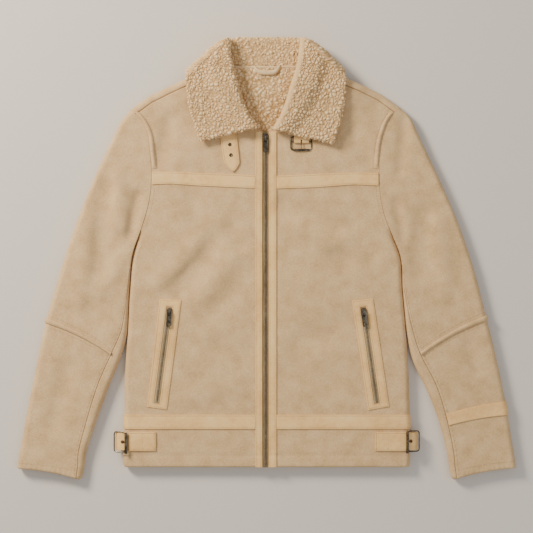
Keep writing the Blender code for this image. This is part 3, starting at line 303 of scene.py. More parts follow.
# A row for each point of the back's top edge: the shoulder, where the back wraps over to
# the shoulder seam on the front, and the neck, where it stops at the collar. "in" is the
# direction from the edge into the panel, "wrap" the length of cloth past the lower layer.
WRAP = math.pi * FOLD + 3.6
NECK_TOP = [(108, 339, -0.40, -0.92, WRAP), (84, 349.5, -0.30, -0.95, WRAP),
            (73, 352, -0.05, -1.0, 5), (60, 352, 0, -1, 3), (30, 352, 0, -1, 3)]
BACK_TOP = both("out y in_out in_y wrap", [
    (245.3, 269, -0.68, -0.73, WRAP), (213, 292.5, -0.50, -0.86, WRAP),
    (181, 308, -0.45, -0.89, WRAP), (144, 324, -0.42, -0.91, WRAP), *NECK_TOP], [
    (238.8, 272.8, -0.68, -0.73, WRAP), (206, 296.5, -0.50, -0.86, WRAP),
    (175, 311, -0.45, -0.89, WRAP), (141, 325, -0.42, -0.91, WRAP), *NECK_TOP])

# The front neckline, hidden under the collar, from the neck point to the zip.
NECKLINE = table("out y", [(84, 337), (72, 318), (59, 290), (45, 262), (28, 240), (14, 231)])

# A row for each section of a sleeve, from armhole to cuff. The inner edge is given by its
# level and its distance from the body; "armhole" is the share of the armhole's curve that
# the section still has, "bow" its own curve, and "seam" the cloth between the inner fold
# and the seam of the under sleeve.
SLEEVE = both("outer_out outer_y inner_y away armhole bow seam", [
    (245.3, 269, 31, 0, 1, 0, 9), (265, 243, 20, 0, 0.84, 0, 9),
    (289, 194, 0, 0, 0.6, 0, 9), (318, 129, -36, 0, 0.3, 0, 10),
    (348, 51, -86, 0, 0.1, 0, 13), (376, -36, -136, 0.4, 0, -3, 18),
    (398, -112, -183, 10, 0, -7, 24), (416, -195, -236, 29, 0, -5, 25),
    (432, -273, -296, 51, 0, -4, 22), (444, -340, -348, 64, 0, -3, 19),
    (451, -379, -400, 76, 0, -4, 15)], [
    (238.8, 272.8, 32, 0, 1, 0, 9), (260, 251, 20, 0, 0.84, 0, 9),
    (284, 200, 0, 0, 0.6, 0, 9), (314, 137, -36, 0, 0.3, 0, 10),
    (345, 64, -84, 0, 0.1, 0, 13), (373, -18, -130, 0.6, 0, -3, 18),
    (396, -107, -183, 8, 0, -7, 23), (415, -185, -236, 31, 0, -5, 24),
    (431, -263, -290, 51, 0, -4, 20), (442, -330, -346, 65, 0, -3, 17),
    (450, -378, -400, 76, 0, -4, 14)])
# A row for each section across a front leaf of the collar, from its tip at the zip to the
# top corner: the roll line, the far edge, how far the leaf is turned down there (180 where
# it wraps under the shoulder), the width of the stand folded under it, how far the leaf
# settles beyond the stand, and the cloth past the turn.
LEAF = both("roll_out roll_y far_out far_y turn stand settle run", [
    (14, 235, 120, 210, 14, 8, 8, 0.8), (27, 251, 130, 243, 14, 12, 8, 0.8),
    (41, 278, 138, 270, 14, 17, 8, 0.8), (52, 311, 144, 301, 14, 22, 8, 0.8),
    (58, 334, 146, 326, 22, 24, 8, 0.8), (62, 350, 143, 341, 150, 22, 8, 0.8),
    (65, 365, 124, 358, 180, 16, 4, 24), (66, 381, 106, 375, 180, 8, 0, 10),
    (66, 396, 86, 391, 180, 2, 0, 2)], [
    (9, 231, 118, 206, 14, 8, 8, 0.8), (20, 249, 130, 238, 14, 12, 8, 0.8),
    (33, 278, 136, 271, 14, 17, 8, 0.8), (43, 311, 140, 301, 14, 22, 8, 0.8),
    (50, 334, 141, 326, 22, 24, 8, 0.8), (54, 350, 138, 341, 150, 22, 8, 0.8),
    (57, 365, 121, 358, 180, 16, 4, 24), (59, 381, 104, 375, 180, 8, 0, 10),
    (60, 396, 82, 391, 180, 2, 0, 2)])

# Soft creases of the upper layer, as segments in plan: height is negative for a trough.
CREASES = table("x0 y0 x1 y1 height width", [
    (-94, 33, -157, -57, -1.8, 17), (-66, 52, -52, 22, -1.5, 15),
    (-138, 100, -128, 70, -1.2, 20), (-174, 249, -192, 177, -1.5, 13),
    (-130, 20, -190, -40, 1.6, 20), (-60, 5, -110, -60, 1.4, 18),
    (29, 96, 122, 55, -1.8, 17), (122, 5, 140, -8, -1.6, 15),
    (60, 60, 120, 25, 1.5, 18), (149, 231, 185, 177, -1.5, 13),
    (113, -128, 60, -150, -1.2, 22), (-85, -155, -40, -170, -1.2, 22),
    (-292, 123, -301, -20, -1.9, 17), (-325, 60, -335, -70, 1.5, 17),
    (-268, 150, -262, 60, 1.5, 13), (283, 78, 275, -22, -1.9, 17),
    (248, 249, 240, 159, -1.5, 11), (310, 60, 322, -60, 1.5, 17),
    (-360, -200, -385, -300, -1.2, 16), (365, -160, 378, -200, -1.2, 14),
    (-232, 112, -246, 42, -2.0, 9), (232, 100, 246, 36, -1.5, 9),
    (-262, 130, -275, 60, 0.9, 14), (-250, 10, -300, -60, 0.9, 15),
    (268, 20, 330, -60, -0.9, 16), (-330, -60, -300, -110, -0.8, 14),
    (-60, -60, -110, -110, -0.7, 18), (70, -40, 130, -90, 0.8, 18),
    (-140, -20, -190, -60, -0.7, 14), (150, 60, 190, 10, -0.9, 14),
    (40, -200, 110, -230, -0.7, 20), (-60, -230, -140, -250, 0.7, 20),
    (-120, 215, -150, 180, 0.6, 16), (90, 200, 120, 175, 0.6, 14),
])

# Yoke trims: top and bottom edge at places from the zip to the armhole.
YOKE_TRIM = both("out top bottom", [
    (0, 148, 125.5), (60, 152, 128), (124, 154, 131), (173, 156, 134.5), (212, 156, 133)], [
    (0, 148, 125), (90, 152.5, 128), (155, 154.6, 133), (203, 154, 131)])
HEM_TRIM = (-281.0, -307.0)
POCKET = both("x y", [(-193, -73), (-154, -75), (-180, -272), (-216, -267)],
              [(191, -72), (153, -76), (182, -273), (220, -266)])
POCKET_ZIP = {"left": ((-175, -85), (-198, -257)), "right": ((173, -85), (197.5, -257))}
SIDE_TAB = {"left": (200, 249, -312, -346), "right": (194, 251, -312, -346)}
THROAT_STRAP = table("y left right", [(232, -86.5, -55.6), (200, -81.5, -52), (172, -77.2, -49.2),
                                      (163, -69.5, -54), (156, -62, -60)])
THROAT_HOLES = ((-67, 205), (-65, 186))
THROAT_TAB = (48.5, 75.5, 209.8, 226)  # x ends, the bar's level and the hidden end
THROAT_BUCKLE = (61.5, 206.9, 39.9, 26.2)  # centre and outer size
SIDE_BAR = {"left": (-253.5, -313, -351), "right": (252.5, -311, -350)}
# The strap of a side buckle: centre line outwards from the buckle's bar and up.
SIDE_LOOP = table("out up", [(0.0, 20.3), (4, 20.2), (8, 19.2), (11.9, 17), (14.5, 13.8),
                             (15.4, 10.2), (14.3, 6.9), (11.3, 4.6), (7.2, 3.9)])
# Section of the raised armhole seam: distance from its middle, and height.
WELT_STEPS = table("in up", [(-3.2, 0.3), (-2.2, 1.5), (-0.6, 2.2), (1.0, 2.1), (2.6, 1.2),
                             (3.4, 0.3)])


# ---- curves, grids and noise
def ease(value: Array | float, start: float, stop: float) -> Array:
    """0 before start, 1 after stop, and a smooth S between them."""
    x = np.clip((np.asarray(value, float) - start) / (stop - start), 0, 1)
    return x * x * (3 - 2 * x)


def through(knots: Array, values: Array, at: Array) -> Array:
    """A smooth curve through values at knots.

    Each interval has a cubic, whose slope at a knot is that of the line through the knot's
    two neighbours.

    Args:
        knots: Where the values lie.
        values: The values.
        at: Where the curve is wanted.

    Returns:
        The curve at those places.
    """
    knots, values, at = (np.asarray(v, float) for v in (knots, values, at))
    slopes = np.gradient(values, knots)
    i = np.clip(np.searchsorted(knots, at, side="right") - 1, 0, len(knots) - 2)
    width = knots[i + 1] - knots[i]
    x = (at - knots[i]) / width
    start = (2 * x**3 - 3 * x**2 + 1) * values[i] + (x**3 - 2 * x**2 + x) * width * slopes[i]
    end = (3 * x**2 - 2 * x**3) * values[i + 1] + (x**3 - x**2) * width * slopes[i + 1]
    return start + end


def rows_at(columns: Columns, at: Array) -> Columns:
    """A table's columns at places between its rows, on smooth curves through them."""
    knots = np.arange(len(next(iter(columns.values()))))
    return {name: through(knots, values, at) for name, values in columns.items()}


def blend_patch(left: Array, right: Array, bottom: Array, top: Array, a: Array,
                b: Array) -> Array:
    """Plan grid between four border curves, as a Coons patch.

    The sum of the two ruled surfaces less the one through the four corners.

    Args:
        left: Border at a = 0, one point for each b.
        right: Border at a = 1.
        bottom: Border at b = 0, one point for each a.
        top: Border at b = 1.
        a: Places across.
        b: Places along.

    Returns:
        Points, rows along b and columns along a.
    """
    a, b = a[None, :, None], b[:, None, None]
    across = (1 - a) * left[:, None] + a * right[:, None]
    along = (1 - b) * bottom[None] + b * top[None]
    corners = ((1 - a) * (1 - b) * left[0] + a * (1 - b) * right[0]
               + (1 - a) * b * left[-1] + a * b * right[-1])
    return across + along - corners


def spread(start: float, stop: float, step: float) -> Array:
    """Stations from start to stop a step apart, with closer ones by both ends.

    Args:
        start: First station.
        stop: Last station.
        step: Distance between stations away from the ends.

    Returns:
        The stations.
    """
    near = np.array(NEAR)
    length = abs(stop - start)
    count = max(int(round((length - 2 * near[-1]) / step)), 2)
    inner = np.linspace(near[-1], length - near[-1], count + 1)[1:-1]
    along = np.concatenate([near, inner, (length - near)[::-1]])
    return start + np.sign(stop - start) * along


def between(start: Array | float, stop: Array | float, length: float, step: float) -> Array:
    """Values from start to stop at the stations that spread sets on a length."""
    return start + (stop - start) * spread(0, length, step) / length


def lattice(cell: Array, seed: int) -> Array:
    """A number from 0 to 1 for each lattice cell, from products of its whole coordinates.

    Args:
        cell: Whole coordinates, three for each cell.
        seed: Which set of numbers.

    Returns:
        One number for each cell.
    """
    n = (cell[..., 0] * 73856093) ^ (cell[..., 1] * 19349663) ^ (cell[..., 2] * 83492791)
    n = (n ^ seed * 2654435761) & 0xFFFFFFFF
    n = ((n ^ (n >> 15)) * 2246822519) & 0xFFFFFFFF
    n = ((n ^ (n >> 13)) * 3266489917) & 0xFFFFFFFF
    return ((n ^ (n >> 16)) & 0xFFFF) / 65535.0


def drift(place: Array, size: float, seed: int) -> Array:
    """Smooth noise from -1 to 1: lattice numbers blended over each cell.

    Args:
        place: Points in millimetres.
        size: Size of a lattice cell.
        seed: Which noise.

    Returns:
        The noise at each point.
    """
    scaled = place / size
    cell = np.floor(scaled).astype(np.int64)
    x = scaled - cell
    x = x * x * (3 - 2 * x)
    total = np.zeros(place.shape[:-1])
    for corner in np.ndindex(2, 2, 2):
        weight = np.prod(np.where(corner, x, 1 - x), axis=-1)
        total += weight * lattice(cell + corner, seed)
    return 2 * total - 1


def curls(place: Array, size: float, seed: int) -> Array:
    """Tufts of pile, from 0 in the gaps between them to 1 on their crests.

    Each lattice cell holds one tuft at a random place. The height grows with how much
    nearer the nearest tuft is than the next one, in coordinates that drift bends.

    Args:
        place: Points in millimetres.
        size: Distance between tufts.
        seed: Which tufts.

    Returns:
        The height at each point.
    """
    bend = np.stack([drift(place, size * 1.3, seed + k) for k in range(3)], -1)
    bent = place + bend * size * 0.45
    scaled = bent / size
    cell = np.floor(scaled).astype(np.int64)
    near = np.full(place.shape[:-1], 9.0)
    after = near.copy()
    for step in np.ndindex(3, 3, 3):
        there = cell + np.array(step) - 1
        spot = there + np.stack([lattice(there, seed + 11 + k) for k in range(3)], -1)
        gap = np.linalg.norm(scaled - spot, axis=-1)
        after = np.minimum(after, np.maximum(near, gap))
        near = np.minimum(near, gap)
    return np.clip((after - near) / 0.55, 0, 1) ** 0.65 * np.clip(1.25 - 0.55 * near, 0, 1)


def normals_of(grid: Array) -> Array:
    """Unit normals of a grid of points, across its two directions' slopes."""
    normal = np.cross(np.gradient(grid, axis=1), np.gradient(grid, axis=0))
    return normal / np.maximum(np.linalg.norm(normal, axis=-1, keepdims=True), 1e-9)


def from_border(grid: Array, border: str) -> Array:
    """Distance over the surface from one border of a grid.

    Args:
        grid: Points.
        border: start or end of the rows, or first or last of the columns.

    Returns:
        The running length from that border at each point.
    """
    axis = 0 if border in ("start", "end") else 1
    if border in ("end", "last"):
        return np.flip(from_border(np.flip(grid, axis), {"end": "start", "last": "first"}[border]),
                       axis)
    steps = np.linalg.norm(np.diff(grid, axis=axis), axis=-1)
    lead = [(1, 0), (0, 0)] if axis == 0 else [(0, 0), (1, 0)]
    return np.cumsum(np.pad(steps, lead), axis=axis)


def running(path: Array) -> Array:
    """Running length of a path at each of its points."""
    return from_border(path[:, None], "start")[:, 0]


def walk(path: Array, steps: Array, at: Array | float) -> Array:
    """Points of a path at running lengths, where steps is its own at each point."""
    return np.stack([np.interp(at, steps, path[:, k]) for k in range(path.shape[1])], -1)


# ---- meshes
def add_piece(name: str, mesh: bpy.types.Mesh, finish: Finish, body: str,
              node: str | None) -> Piece:
    """Makes a mesh a finished object at the origin, which rides on a body.

    Args:
        name: The piece's name.
        mesh: Its mesh.
        finish: Its finish.
        body: The body.
        node: The solid that it stands for, if there is one.

    Returns:
        The object.
    """
    mesh.shade_smooth()
    mesh.set_sharp_from_angle(angle=SHARP)
    mesh.materials.append(finish.make())
    made = bpy.data.objects.new(name, mesh)
    bpy.context.scene.collection.objects.link(made)
    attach(made, body)
    if node:
        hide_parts(node)
    LOG.info("%s: %d faces", name, len(mesh.polygons))
    return made


def mesh_object(name: str, points: Array, faces: list[Array], finish: Finish,
                values: dict[str, Array] | None = None,
                node: str | None = None) -> Piece:
    """A smooth piece of the jacket from points and faces.

    Args:
        name: The piece's name.
        points: Points in millimetres.
        faces: Arrays of faces, one for each number of sides.
        finish: Its finish.
        values: Numbers for each point, by attribute name.
        node: The solid that it stands for, if there is one.

    Returns:
        The object.
    """
    mesh = bpy.data.meshes.new(name)
    mesh.vertices.add(len(points))
    mesh.vertices.foreach_set("co", (points * MM).astype(np.float32).ravel())
    sizes = np.concatenate([np.full(len(part), part.shape[1]) for part in faces])
    corners = np.concatenate([part.ravel() for part in faces]).astype(np.int32)
    mesh.loops.add(len(corners))
    mesh.loops.foreach_set("vertex_index", corners)
    mesh.polygons.add(len(sizes))
    mesh.polygons.foreach_set("loop_start", np.concatenate([[0], np.cumsum(sizes)[:-1]]))
    mesh.update(calc_edges=True)
    if signed_volume(points, faces) < 0:
        mesh.flip_normals()
    for key, numbers in (values or {}).items():
        mesh.attributes.new(key, "FLOAT", "POINT").data.foreach_set(
            "value", np.asarray(numbers, np.float32).ravel())
    return add_piece(name, mesh, finish, BODY, node)


def signed_volume(points: Array, faces: list[Array]) -> float:
    """Volume inside the faces, as the sum of the pyramids from the origin to each.

    Args:
        points: Points.
        faces: Arrays of faces, one for each number of sides.

    Returns:
        The volume, below 0 where the faces look inwards.
    """
    total = 0.0
    for part in faces:
        for k in range(1, part.shape[1] - 1):
            a, b, c = (points[part[:, n]] for n in (0, k, k + 1))
            total += float((a * np.cross(b, c)).sum()) / 6
    return total


def half_round(outer: Array, inner: Array, edges: dict[str, float]) -> tuple[Array, Array]:
    """Rounds the borders of a wall: both faces draw together on a quarter circle.

    Args:
        outer: Outer face.
        inner: Inner face.
        edges: Radius by border, as from_border names them.

    Returns:
        Both faces.
    """
    through_wall = inner - outer
    thick = np.linalg.norm(through_wall, axis=-1, keepdims=True)
    way = through_wall / np.maximum(thick, 1e-6)
    sunk = np.zeros(outer.shape[:2])
    for border, radius in edges.items():
        away = np.clip(radius - from_border(outer, border), 0, radius)
        sunk = np.maximum(sunk, radius - np.sqrt(radius**2 - away**2))
    sunk = np.minimum(sunk[..., None], thick * 0.48)
    return outer + way * sunk, inner - way * sunk


def wall_object(name: str, outer: Array, inner: Array, finish: Finish,
                node: str | None = None, values: Array | None = None) -> Piece:
    """Closed wall between two grids, with its four borders shut.

    Args:
        name: The piece's name.
        outer: Outer face, rows by columns by 3.
        inner: Inner face.
        finish: Its finish.
        node: The solid that it stands for, if there is one.
        values: Height of the pile on the outer face, if the finish reads it to paint shade in the
            gaps and highlight on the crests.

    Returns:
        The object.
    """
    rows, columns = outer.shape[:2]
    size = rows * columns
    index = np.arange(size).reshape(rows, columns)
    face = np.stack([index[:-1, :-1], index[:-1, 1:], index[1:, 1:], index[1:, :-1]], -1)
    face = face.reshape(-1, 4)
    border = np.concatenate([index[0, :-1], index[:-1, -1], index[-1, :0:-1], index[:0:-1, 0]])
    after = np.roll(border, -1)
    rim = np.stack([border, border + size, after + size, after], -1)
    points = np.concatenate([outer.reshape(-1, 3), inner.reshape(-1, 3)])
    given = {} if values is None else {
        finish.relief: np.concatenate([values.ravel(), np.full(size, 0.35)])}
    return mesh_object(name, points, [np.concatenate([face, face[:, ::-1] + size, rim])],
                       finish, given, node)


def tubes_object(name: str, rings: Array, finish: Finish,
                 values: dict[str, Array] | None = None, node: str | None = None) -> None:
    """Capped tubes as one mesh, each from rings of points along its path.

    Args:
        name: The piece's name.
        rings: Tubes by rings by points by 3.
        finish: Its finish.
        values: Numbers for each point, by attribute name.
        node: The solid that they stand for, if there is one.
    """
    index = np.arange(rings[..., 0].size).reshape(rings.shape[:3])
    aside = np.roll(index, -1, 2)
    quads = np.stack([index[:, :-1], aside[:, :-1], aside[:, 1:], index[:, 1:]], -1)
    caps = np.concatenate([index[:, 0, ::-1], index[:, -1]])
    mesh_object(name, rings.reshape(-1, 3), [quads.reshape(-1, 4), caps], finish, values,
                node)


def loop_object(name: str, rings: Array, finish: Finish, node: str | None = None) -> None:
    """A closed loop of rings, the last of which joins the first.

    Args:
        name: The piece's name.
        rings: Rings by points by 3.
        finish: Its finish.
        node: The solid that it stands for, if there is one.
    """
    index = np.arange(rings[..., 0].size).reshape(rings.shape[:2])
    ahead, aside = np.roll(index, -1, 0), np.roll(index, -1, 1)
    quads = np.stack([index, aside, np.roll(ahead, -1, 1), ahead], -1)
    mesh_object(name, rings.reshape(-1, 3), [quads.reshape(-1, 4)], finish, node=node)


def rings_along(path: Array, radius: float, flat: float, sides: int = 10) -> Array:
    """Oval rings square to a path that runs level.

    Each ring is the path's point plus the radius times cosine across and sine upwards.

    Args:
        path: Points of the path.
        radius: Half the rings' width.
        flat: Their height as a share of their width.
        sides: Points in a ring.

    Returns:
        Rings by points by 3.
    """
    along = np.gradient(path, axis=0)
    along /= np.linalg.norm(along, axis=1)[:, None]
    aside = np.cross(along, (0, 0, 1.0))
    aside /= np.linalg.norm(aside, axis=1)[:, None]
    turn = np.arange(sides)[None, :, None] / sides * 2 * math.pi
    return path[:, None] + radius * (np.cos(turn) * aside[:, None]
                                     + flat * np.sin(turn) * np.cross(aside, along)[:, None])


# ---- heights of the cloth
def lift(x: Array, y: Array) -> Array:
    """How far neck and shoulders lie above the floor, on the collar's back fall."""
    return COLLAR_LIFT * ease(y, *LIFT_Y) * (1 - ease(np.abs(x), 150, 205))


def relief(x: Array, y: Array) -> Array:
    """Creases of the upper layer: each is a bell across its segment, summed and limited.

    Args:
        x: Places across the jacket.
        y: Places along it.

    Returns:
        Height above the smooth cloth at each.
    """
    total = np.zeros(np.shape(x))
    for x0, y0, x1, y1, height, width in zip(*CREASES.values()):
        dx, dy = x1 - x0, y1 - y0
        along = np.clip(((x - x0) * dx + (y - y0) * dy) / (dx * dx + dy * dy), 0, 1)
        off = np.hypot(x - x0 - along * dx, y - y0 - along * dy)
        total = total + CREASE_GAIN * height * np.exp(-((off / width) ** 2))
    place = np.stack([np.asarray(x, float), np.asarray(y, float), np.zeros(np.shape(x))], -1)
    total = total + 0.45 * drift(place, 46, 5) + 0.22 * drift(place, 19, 6)
    hem = np.asarray(y, float) - HEM_STITCH_Y - 0.8 * drift(place, 60, 8)
    total = total - 0.9 * np.exp(-((hem / 2.2) ** 2)) * (np.abs(x) < 262)
    return CREASE_LIMIT * np.tanh(total / CREASE_LIMIT)


def top_z(x: Array, y: Array) -> Array:
    """Height of the upper layer's outer face."""
    return STACK + UPPER_LIFT * lift(x, y) + relief(x, y)


def side_out(side: Side, y: Array | float) -> Array:
    """Half width of the body at a level."""
    rows = SIDE[side.value]
    return through(rows["y"], rows["out"], np.clip(y, HEM_Y, None))


def over_fold(distance: Array) -> tuple[Array, Array, Array, Array]:
    """A flattened tube's section, by the distance over the cloth from the middle of a fold.

    A quarter circle of the fold's radius, then level.

    Args:
        distance: Distance over the cloth.

    Returns:
        How far in from the edge, the height, and the normal's outward and upward parts.
    """
    angle = np.clip(distance / FOLD, 0, math.pi / 2)
    inward = FOLD * (1 - np.cos(angle)) + np.clip(distance - QUARTER, 0, None)
    return inward, FOLD + FOLD * np.sin(angle), -np.cos(angle), np.sin(angle)


def stacked(xy: Array, z: Array | float) -> Array:
    """Points from a plan grid and their heights."""
    return np.concatenate([xy, np.broadcast_to(z, xy.shape[:-1])[..., None]], -1)


def puckers(grid: Array, edges: tuple[str, ...], pitch: float = 9.0) -> Array:
    """Height of the small gathers that stitching draws beside a seam.

    A sine along the seam, whose phase drifts, times a bell of the distance from it.

    Args:
        grid: Points of the panel.
        edges: The borders that are sewn.
        pitch: Length of one gather.

    Returns:
        The height at each point.
    """
    total = np.zeros(grid.shape[:2])
    for edge in edges:
        away = from_border(grid, edge)
        run = from_border(grid, "first" if edge in ("start", "end") else "start")
        wave = np.sin(2 * math.pi * run / pitch + 2.5 * drift(grid, 24, 31))
        total += 0.32 * wave * np.exp(-((away - 5) / 5.5) ** 2)
    return total


def suede_wall(name: str, node: str, outer: Array, inner: Array, edges: dict[str, float],
               sewn: tuple[str, ...]) -> Piece:
    """A panel of the shell: its borders are rounded and its sewn edges gathered.

    Args:
        name: The piece's name.
        node: The solid that it stands for.
        outer: Outer face.
        inner: Inner face.
        edges: Radius by border.
        sewn: The borders that are sewn.

    Returns:
        The object.
    """
    normal = normals_of(outer)
    outer = outer + normal * np.sign((normal * (outer - inner)).sum()) \
        * puckers(outer, sewn)[..., None]
    outer, inner = half_round(outer, inner, edges)
    return wall_object(name, outer, inner, SUEDE, node)


# ---- body
@dataclass
class Body:
    """The body: a back, and on each side a front, a yoke and a hem band.

    The upper and lower layers meet on a half circle along the sides, and the back wraps
    over the shoulders to a seam on the front.
    """

    step: float = 3.2
    back_step: float = 6.2

    def folded(self, xy: Array, side: Side, reach: float) -> tuple[Array, Array, Array]:
        """Turns the border of a plan grid round the body's edge.

        A strip of cloth one quarter turn long bends by the angle of the side's table, on
        the radius that keeps its length; the cloth beyond it moves with it, less and less.

        Args:
            xy: Plan grid.
            side: Which half.
            reach: Where the movement has died out.

        Returns:
            The moved grid, how far it drops, and the angle it has turned.
        """
        sign, y, rows = side.sign, xy[..., 1], SIDE[side.value]
        distance = side_out(side, y) - sign * xy[..., 0]
        turn = np.radians(np.maximum(np.interp(y, rows["y"], rows["fold"]), 0.05))
        radius = QUARTER / turn
        angle = np.clip(QUARTER - distance, 0, None) / radius
        slack = radius * np.sin(turn) - QUARTER
        rest = slack * np.clip((reach - distance) / (reach - QUARTER), 0, 1)
        strip = radius * (np.sin(turn) - np.sin(angle)) - distance
        moved = xy.copy()
        moved[..., 0] -= sign * np.where(distance < QUARTER, strip, rest)
        return moved, radius * (1 - np.cos(angle)), angle

    def panel(self, name: str, node: str, side: Side, low: float, high: float,
              top: Callable[[Array], Array], front_top: float,
              edges: dict[str, float]) -> Piece:
        """One piece of the upper layer, from the side seam to the zip.

        Args:
            name: The piece's name, less its side.
            node: The name of the solid that it stands for, less its side.
            side: Which half.
            low: Level of its lower border.
            high: Level of its upper border at the side.
            top: Level of its upper border by distance from the middle.
            front_top: Level of its upper corner at the zip.
            edges: Radius of each border.

        Returns:
            The object.
        """
        sign, edge = side.sign, side.sign * FRONT_EDGE[side]
        y = spread(low, high, self.step)
        b = (y - low) / (high - low)
        width = float(side_out(side, 0.0)) - edge
        turn = np.linspace(0, QUARTER, 9)[:-1]
        a = np.concatenate([turn, spread(QUARTER, width, self.step)]) / width
        side_x = sign * (side_out(side, y) - SEAM / 2)
        left = np.stack([side_x, y], -1)
        right = np.stack([np.full_like(y, sign * edge), low + b * (front_top - low)], -1)
        across = np.stack([side_x[0] + a * (sign * edge - side_x[0]), np.full_like(a, low)], -1)
        top_x = side_x[-1] + a * (sign * edge - side_x[-1])
        upper = np.stack([top_x, top(sign * top_x)], -1)
        upper[0], upper[-1] = left[-1], right[-1]
        plan = blend_patch(left, right, across, upper, a, b)
        plan, drop, angle = self.folded(plan, side, width)
        x, y = plan[..., 0], plan[..., 1]
        z = STACK + UPPER_LIFT * lift(x, y) + relief(x, y) * np.cos(angle) ** 4 - drop
        outer = np.stack([x, y, z], -1)
        inner_z = np.maximum(z - np.cos(angle) * CLOTH, FOLD + SEAM / 2)
        inner = np.stack([x - sign * np.sin(angle) * CLOTH, y, inner_z], -1)
        return suede_wall(name + side.value, node + side.value, outer, inner, edges,
                          tuple(edges))

    def shoulder_seam(self, side: Side) -> tuple[Array, Array]:
        """Distance from the middle and level of the shoulder seam and the neckline.

        Args:
            side: Which half.

        Returns:
            Distances and levels, from the shoulder to the zip.
        """
        top, down = BACK_TOP[side.value], FOLD + 3.6 + 2 * SEAM
        part = slice(0, 6)
        out = top["out"][part] + top["in_out"][part] * down
        y = top["y"][part] + top["in_y"][part] * down
        return np.concatenate([out, NECKLINE["out"][1:]]), np.concatenate([y, NECKLINE["y"][1:]])

    def fronts(self, side: Side) -> None:
        """Builds the hem band, front and yoke of one side.

        Args:
            side: Which half.
        """
        hem_top, front_top = HEM_SEAM_Y - SEAM / 2, YOKE_SEAM_Y - SEAM / 2
        made = self.panel("hem_cloth_", "hem_band_", side, HEM_Y, hem_top,
                          lambda out: np.full_like(out, hem_top), hem_top,
                          {"start": HEM_EDGE, "last": 2.0, "end": 1.0})
        made = self.panel("front_cloth_", "front_", side, HEM_SEAM_Y + SEAM / 2, front_top,
                          lambda out: np.full_like(out, front_top), front_top,
                          {"start": 1.0, "last": 2.0, "end": 1.0})
        out, y = self.shoulder_seam(side)
        made = self.panel("yoke_cloth_", "front_yoke_", side, YOKE_SEAM_Y + SEAM / 2, y[0],
                          lambda at: np.interp(at, out[::-1], y[::-1]), FRONT_TOP_Y,
                          {"start": 1.0, "last": 2.0, "end": 1.6})

    def back(self) -> None:
        """Builds the back, which wraps over the shoulders."""
        left, right = BACK_TOP["left"], BACK_TOP["right"]
        knots = {n: np.concatenate([left[n], right[n][::-1]]) for n in left}
        signs = np.concatenate([-np.ones(len(left["out"])), np.ones(len(right["out"]))])
        for n in ("out", "in_out"):
            knots[n] = knots[n] * signs
        first, last = knots["out"][0], knots["out"][-1]
        turn = np.linspace(0, QUARTER, 8)[:-1]
        inside = np.linspace(first + QUARTER, last - QUARTER, int((last - first) / self.back_step))
        at = np.concatenate([first + turn, inside, (last - turn)[::-1]])
        a = (at - first) / (last - first)
        edge = {n: np.interp(at, knots["out"], knots[n]) for n in knots}
        into = np.stack([edge["in_out"], edge["in_y"]], -1)
        into /= np.linalg.norm(into, axis=1)[:, None]
        rim = np.stack([at, edge["y"]], -1)
        rows = spread(HEM_Y, 262.2, self.back_step)
        b = (rows - rows[0]) / (rows[-1] - rows[0])
        top = rim + into * FOLD
        borders = []
        for side, end in ((Side.LEFT, 0), (Side.RIGHT, -1)):
            y = rows[0] + b * (top[end, 1] - rows[0])
            borders.append(np.stack([side.sign * (side_out(side, y) - SEAM / 2), y], -1))
        top[0], top[-1] = borders[0][-1], borders[1][-1]
        hem_x = borders[0][0, 0] + a * (borders[1][0, 0] - borders[0][0, 0])
        hem = np.stack([hem_x, np.full_like(a, HEM_Y)], -1)
        plan = blend_patch(borders[0], borders[1], hem, top, a, b)
        half = plan.shape[1] // 2
        parts = [self.folded(plan[:, :half], Side.LEFT, 255),
                 self.folded(plan[:, half:], Side.RIGHT, 255)]
        plan, rise, angle = (np.concatenate([p[i] for p in parts], axis=1) for i in range(3))
        x, y = plan[..., 0], plan[..., 1]
        z = lift(x, y) + rise
        outer = np.stack([x, y, z], -1)
        inner_z = np.minimum(z + np.cos(angle) * CLOTH, FOLD - SEAM / 2)
        inner_z = np.where(angle > 0.01, inner_z, z + CLOTH)
        inner = np.stack([x - np.sign(x) * np.sin(angle) * CLOTH, y, inner_z], -1)
        turns = np.linspace(0, 1, 25)[1:, None]
        length = turns * edge["wrap"]
        turned = np.minimum(length / FOLD, math.pi)
        inward = FOLD - FOLD * np.sin(turned) + (length - turned * FOLD)
        over = rim + into * inward[..., None]
        over[:, 0] += top[0] - (rim + into * FOLD)[0]
        over[:, -1] += top[-1] - (rim + into * FOLD)[-1]
        base = lift(over[..., 0], over[..., 1])
        arc = stacked(over, base + FOLD - FOLD * np.cos(turned))
        normal = stacked(-into * np.sin(turned)[..., None], -np.cos(turned))
        outer = np.concatenate([outer, arc])
        inner = np.concatenate([inner, arc - normal * CLOTH])
        outer, inner = half_round(outer, inner, {"start": HEM_EDGE, "end": 1.6})
        made = wall_object("back_cloth", outer, inner, SUEDE, "back")

    def lining(self) -> None:
        """The sherpa lining that shows in the neck: tufts on the back's inner face."""
        x = np.linspace(-92, 92, 152)
        y = np.linspace(216, 343, 106)
        grid = np.stack(np.meshgrid(x, y), -1)
        grid[..., 0] *= 1 - 0.5 * (1 - ease(grid[..., 1], 205, 290))
        floor = stacked(grid, lift(grid[..., 0], grid[..., 1]) + CLOTH + 0.3)
        high = curls(floor * (1, 1, 0), 6.2, 71)
        outer = floor + (0, 0, 1) * (0.9 + 2.2 * high)[..., None]
        # The tufts' heights colour the pile: painted shade in the gaps, painted highlight on the
        # crests.
        made = wall_object("neck_lining", outer, floor, SHERPA, values=high)

    def build(self) -> None:
        """Builds every piece of the body."""
        self.back()
        self.lining()
        for side in Side:
            self.fronts(side)


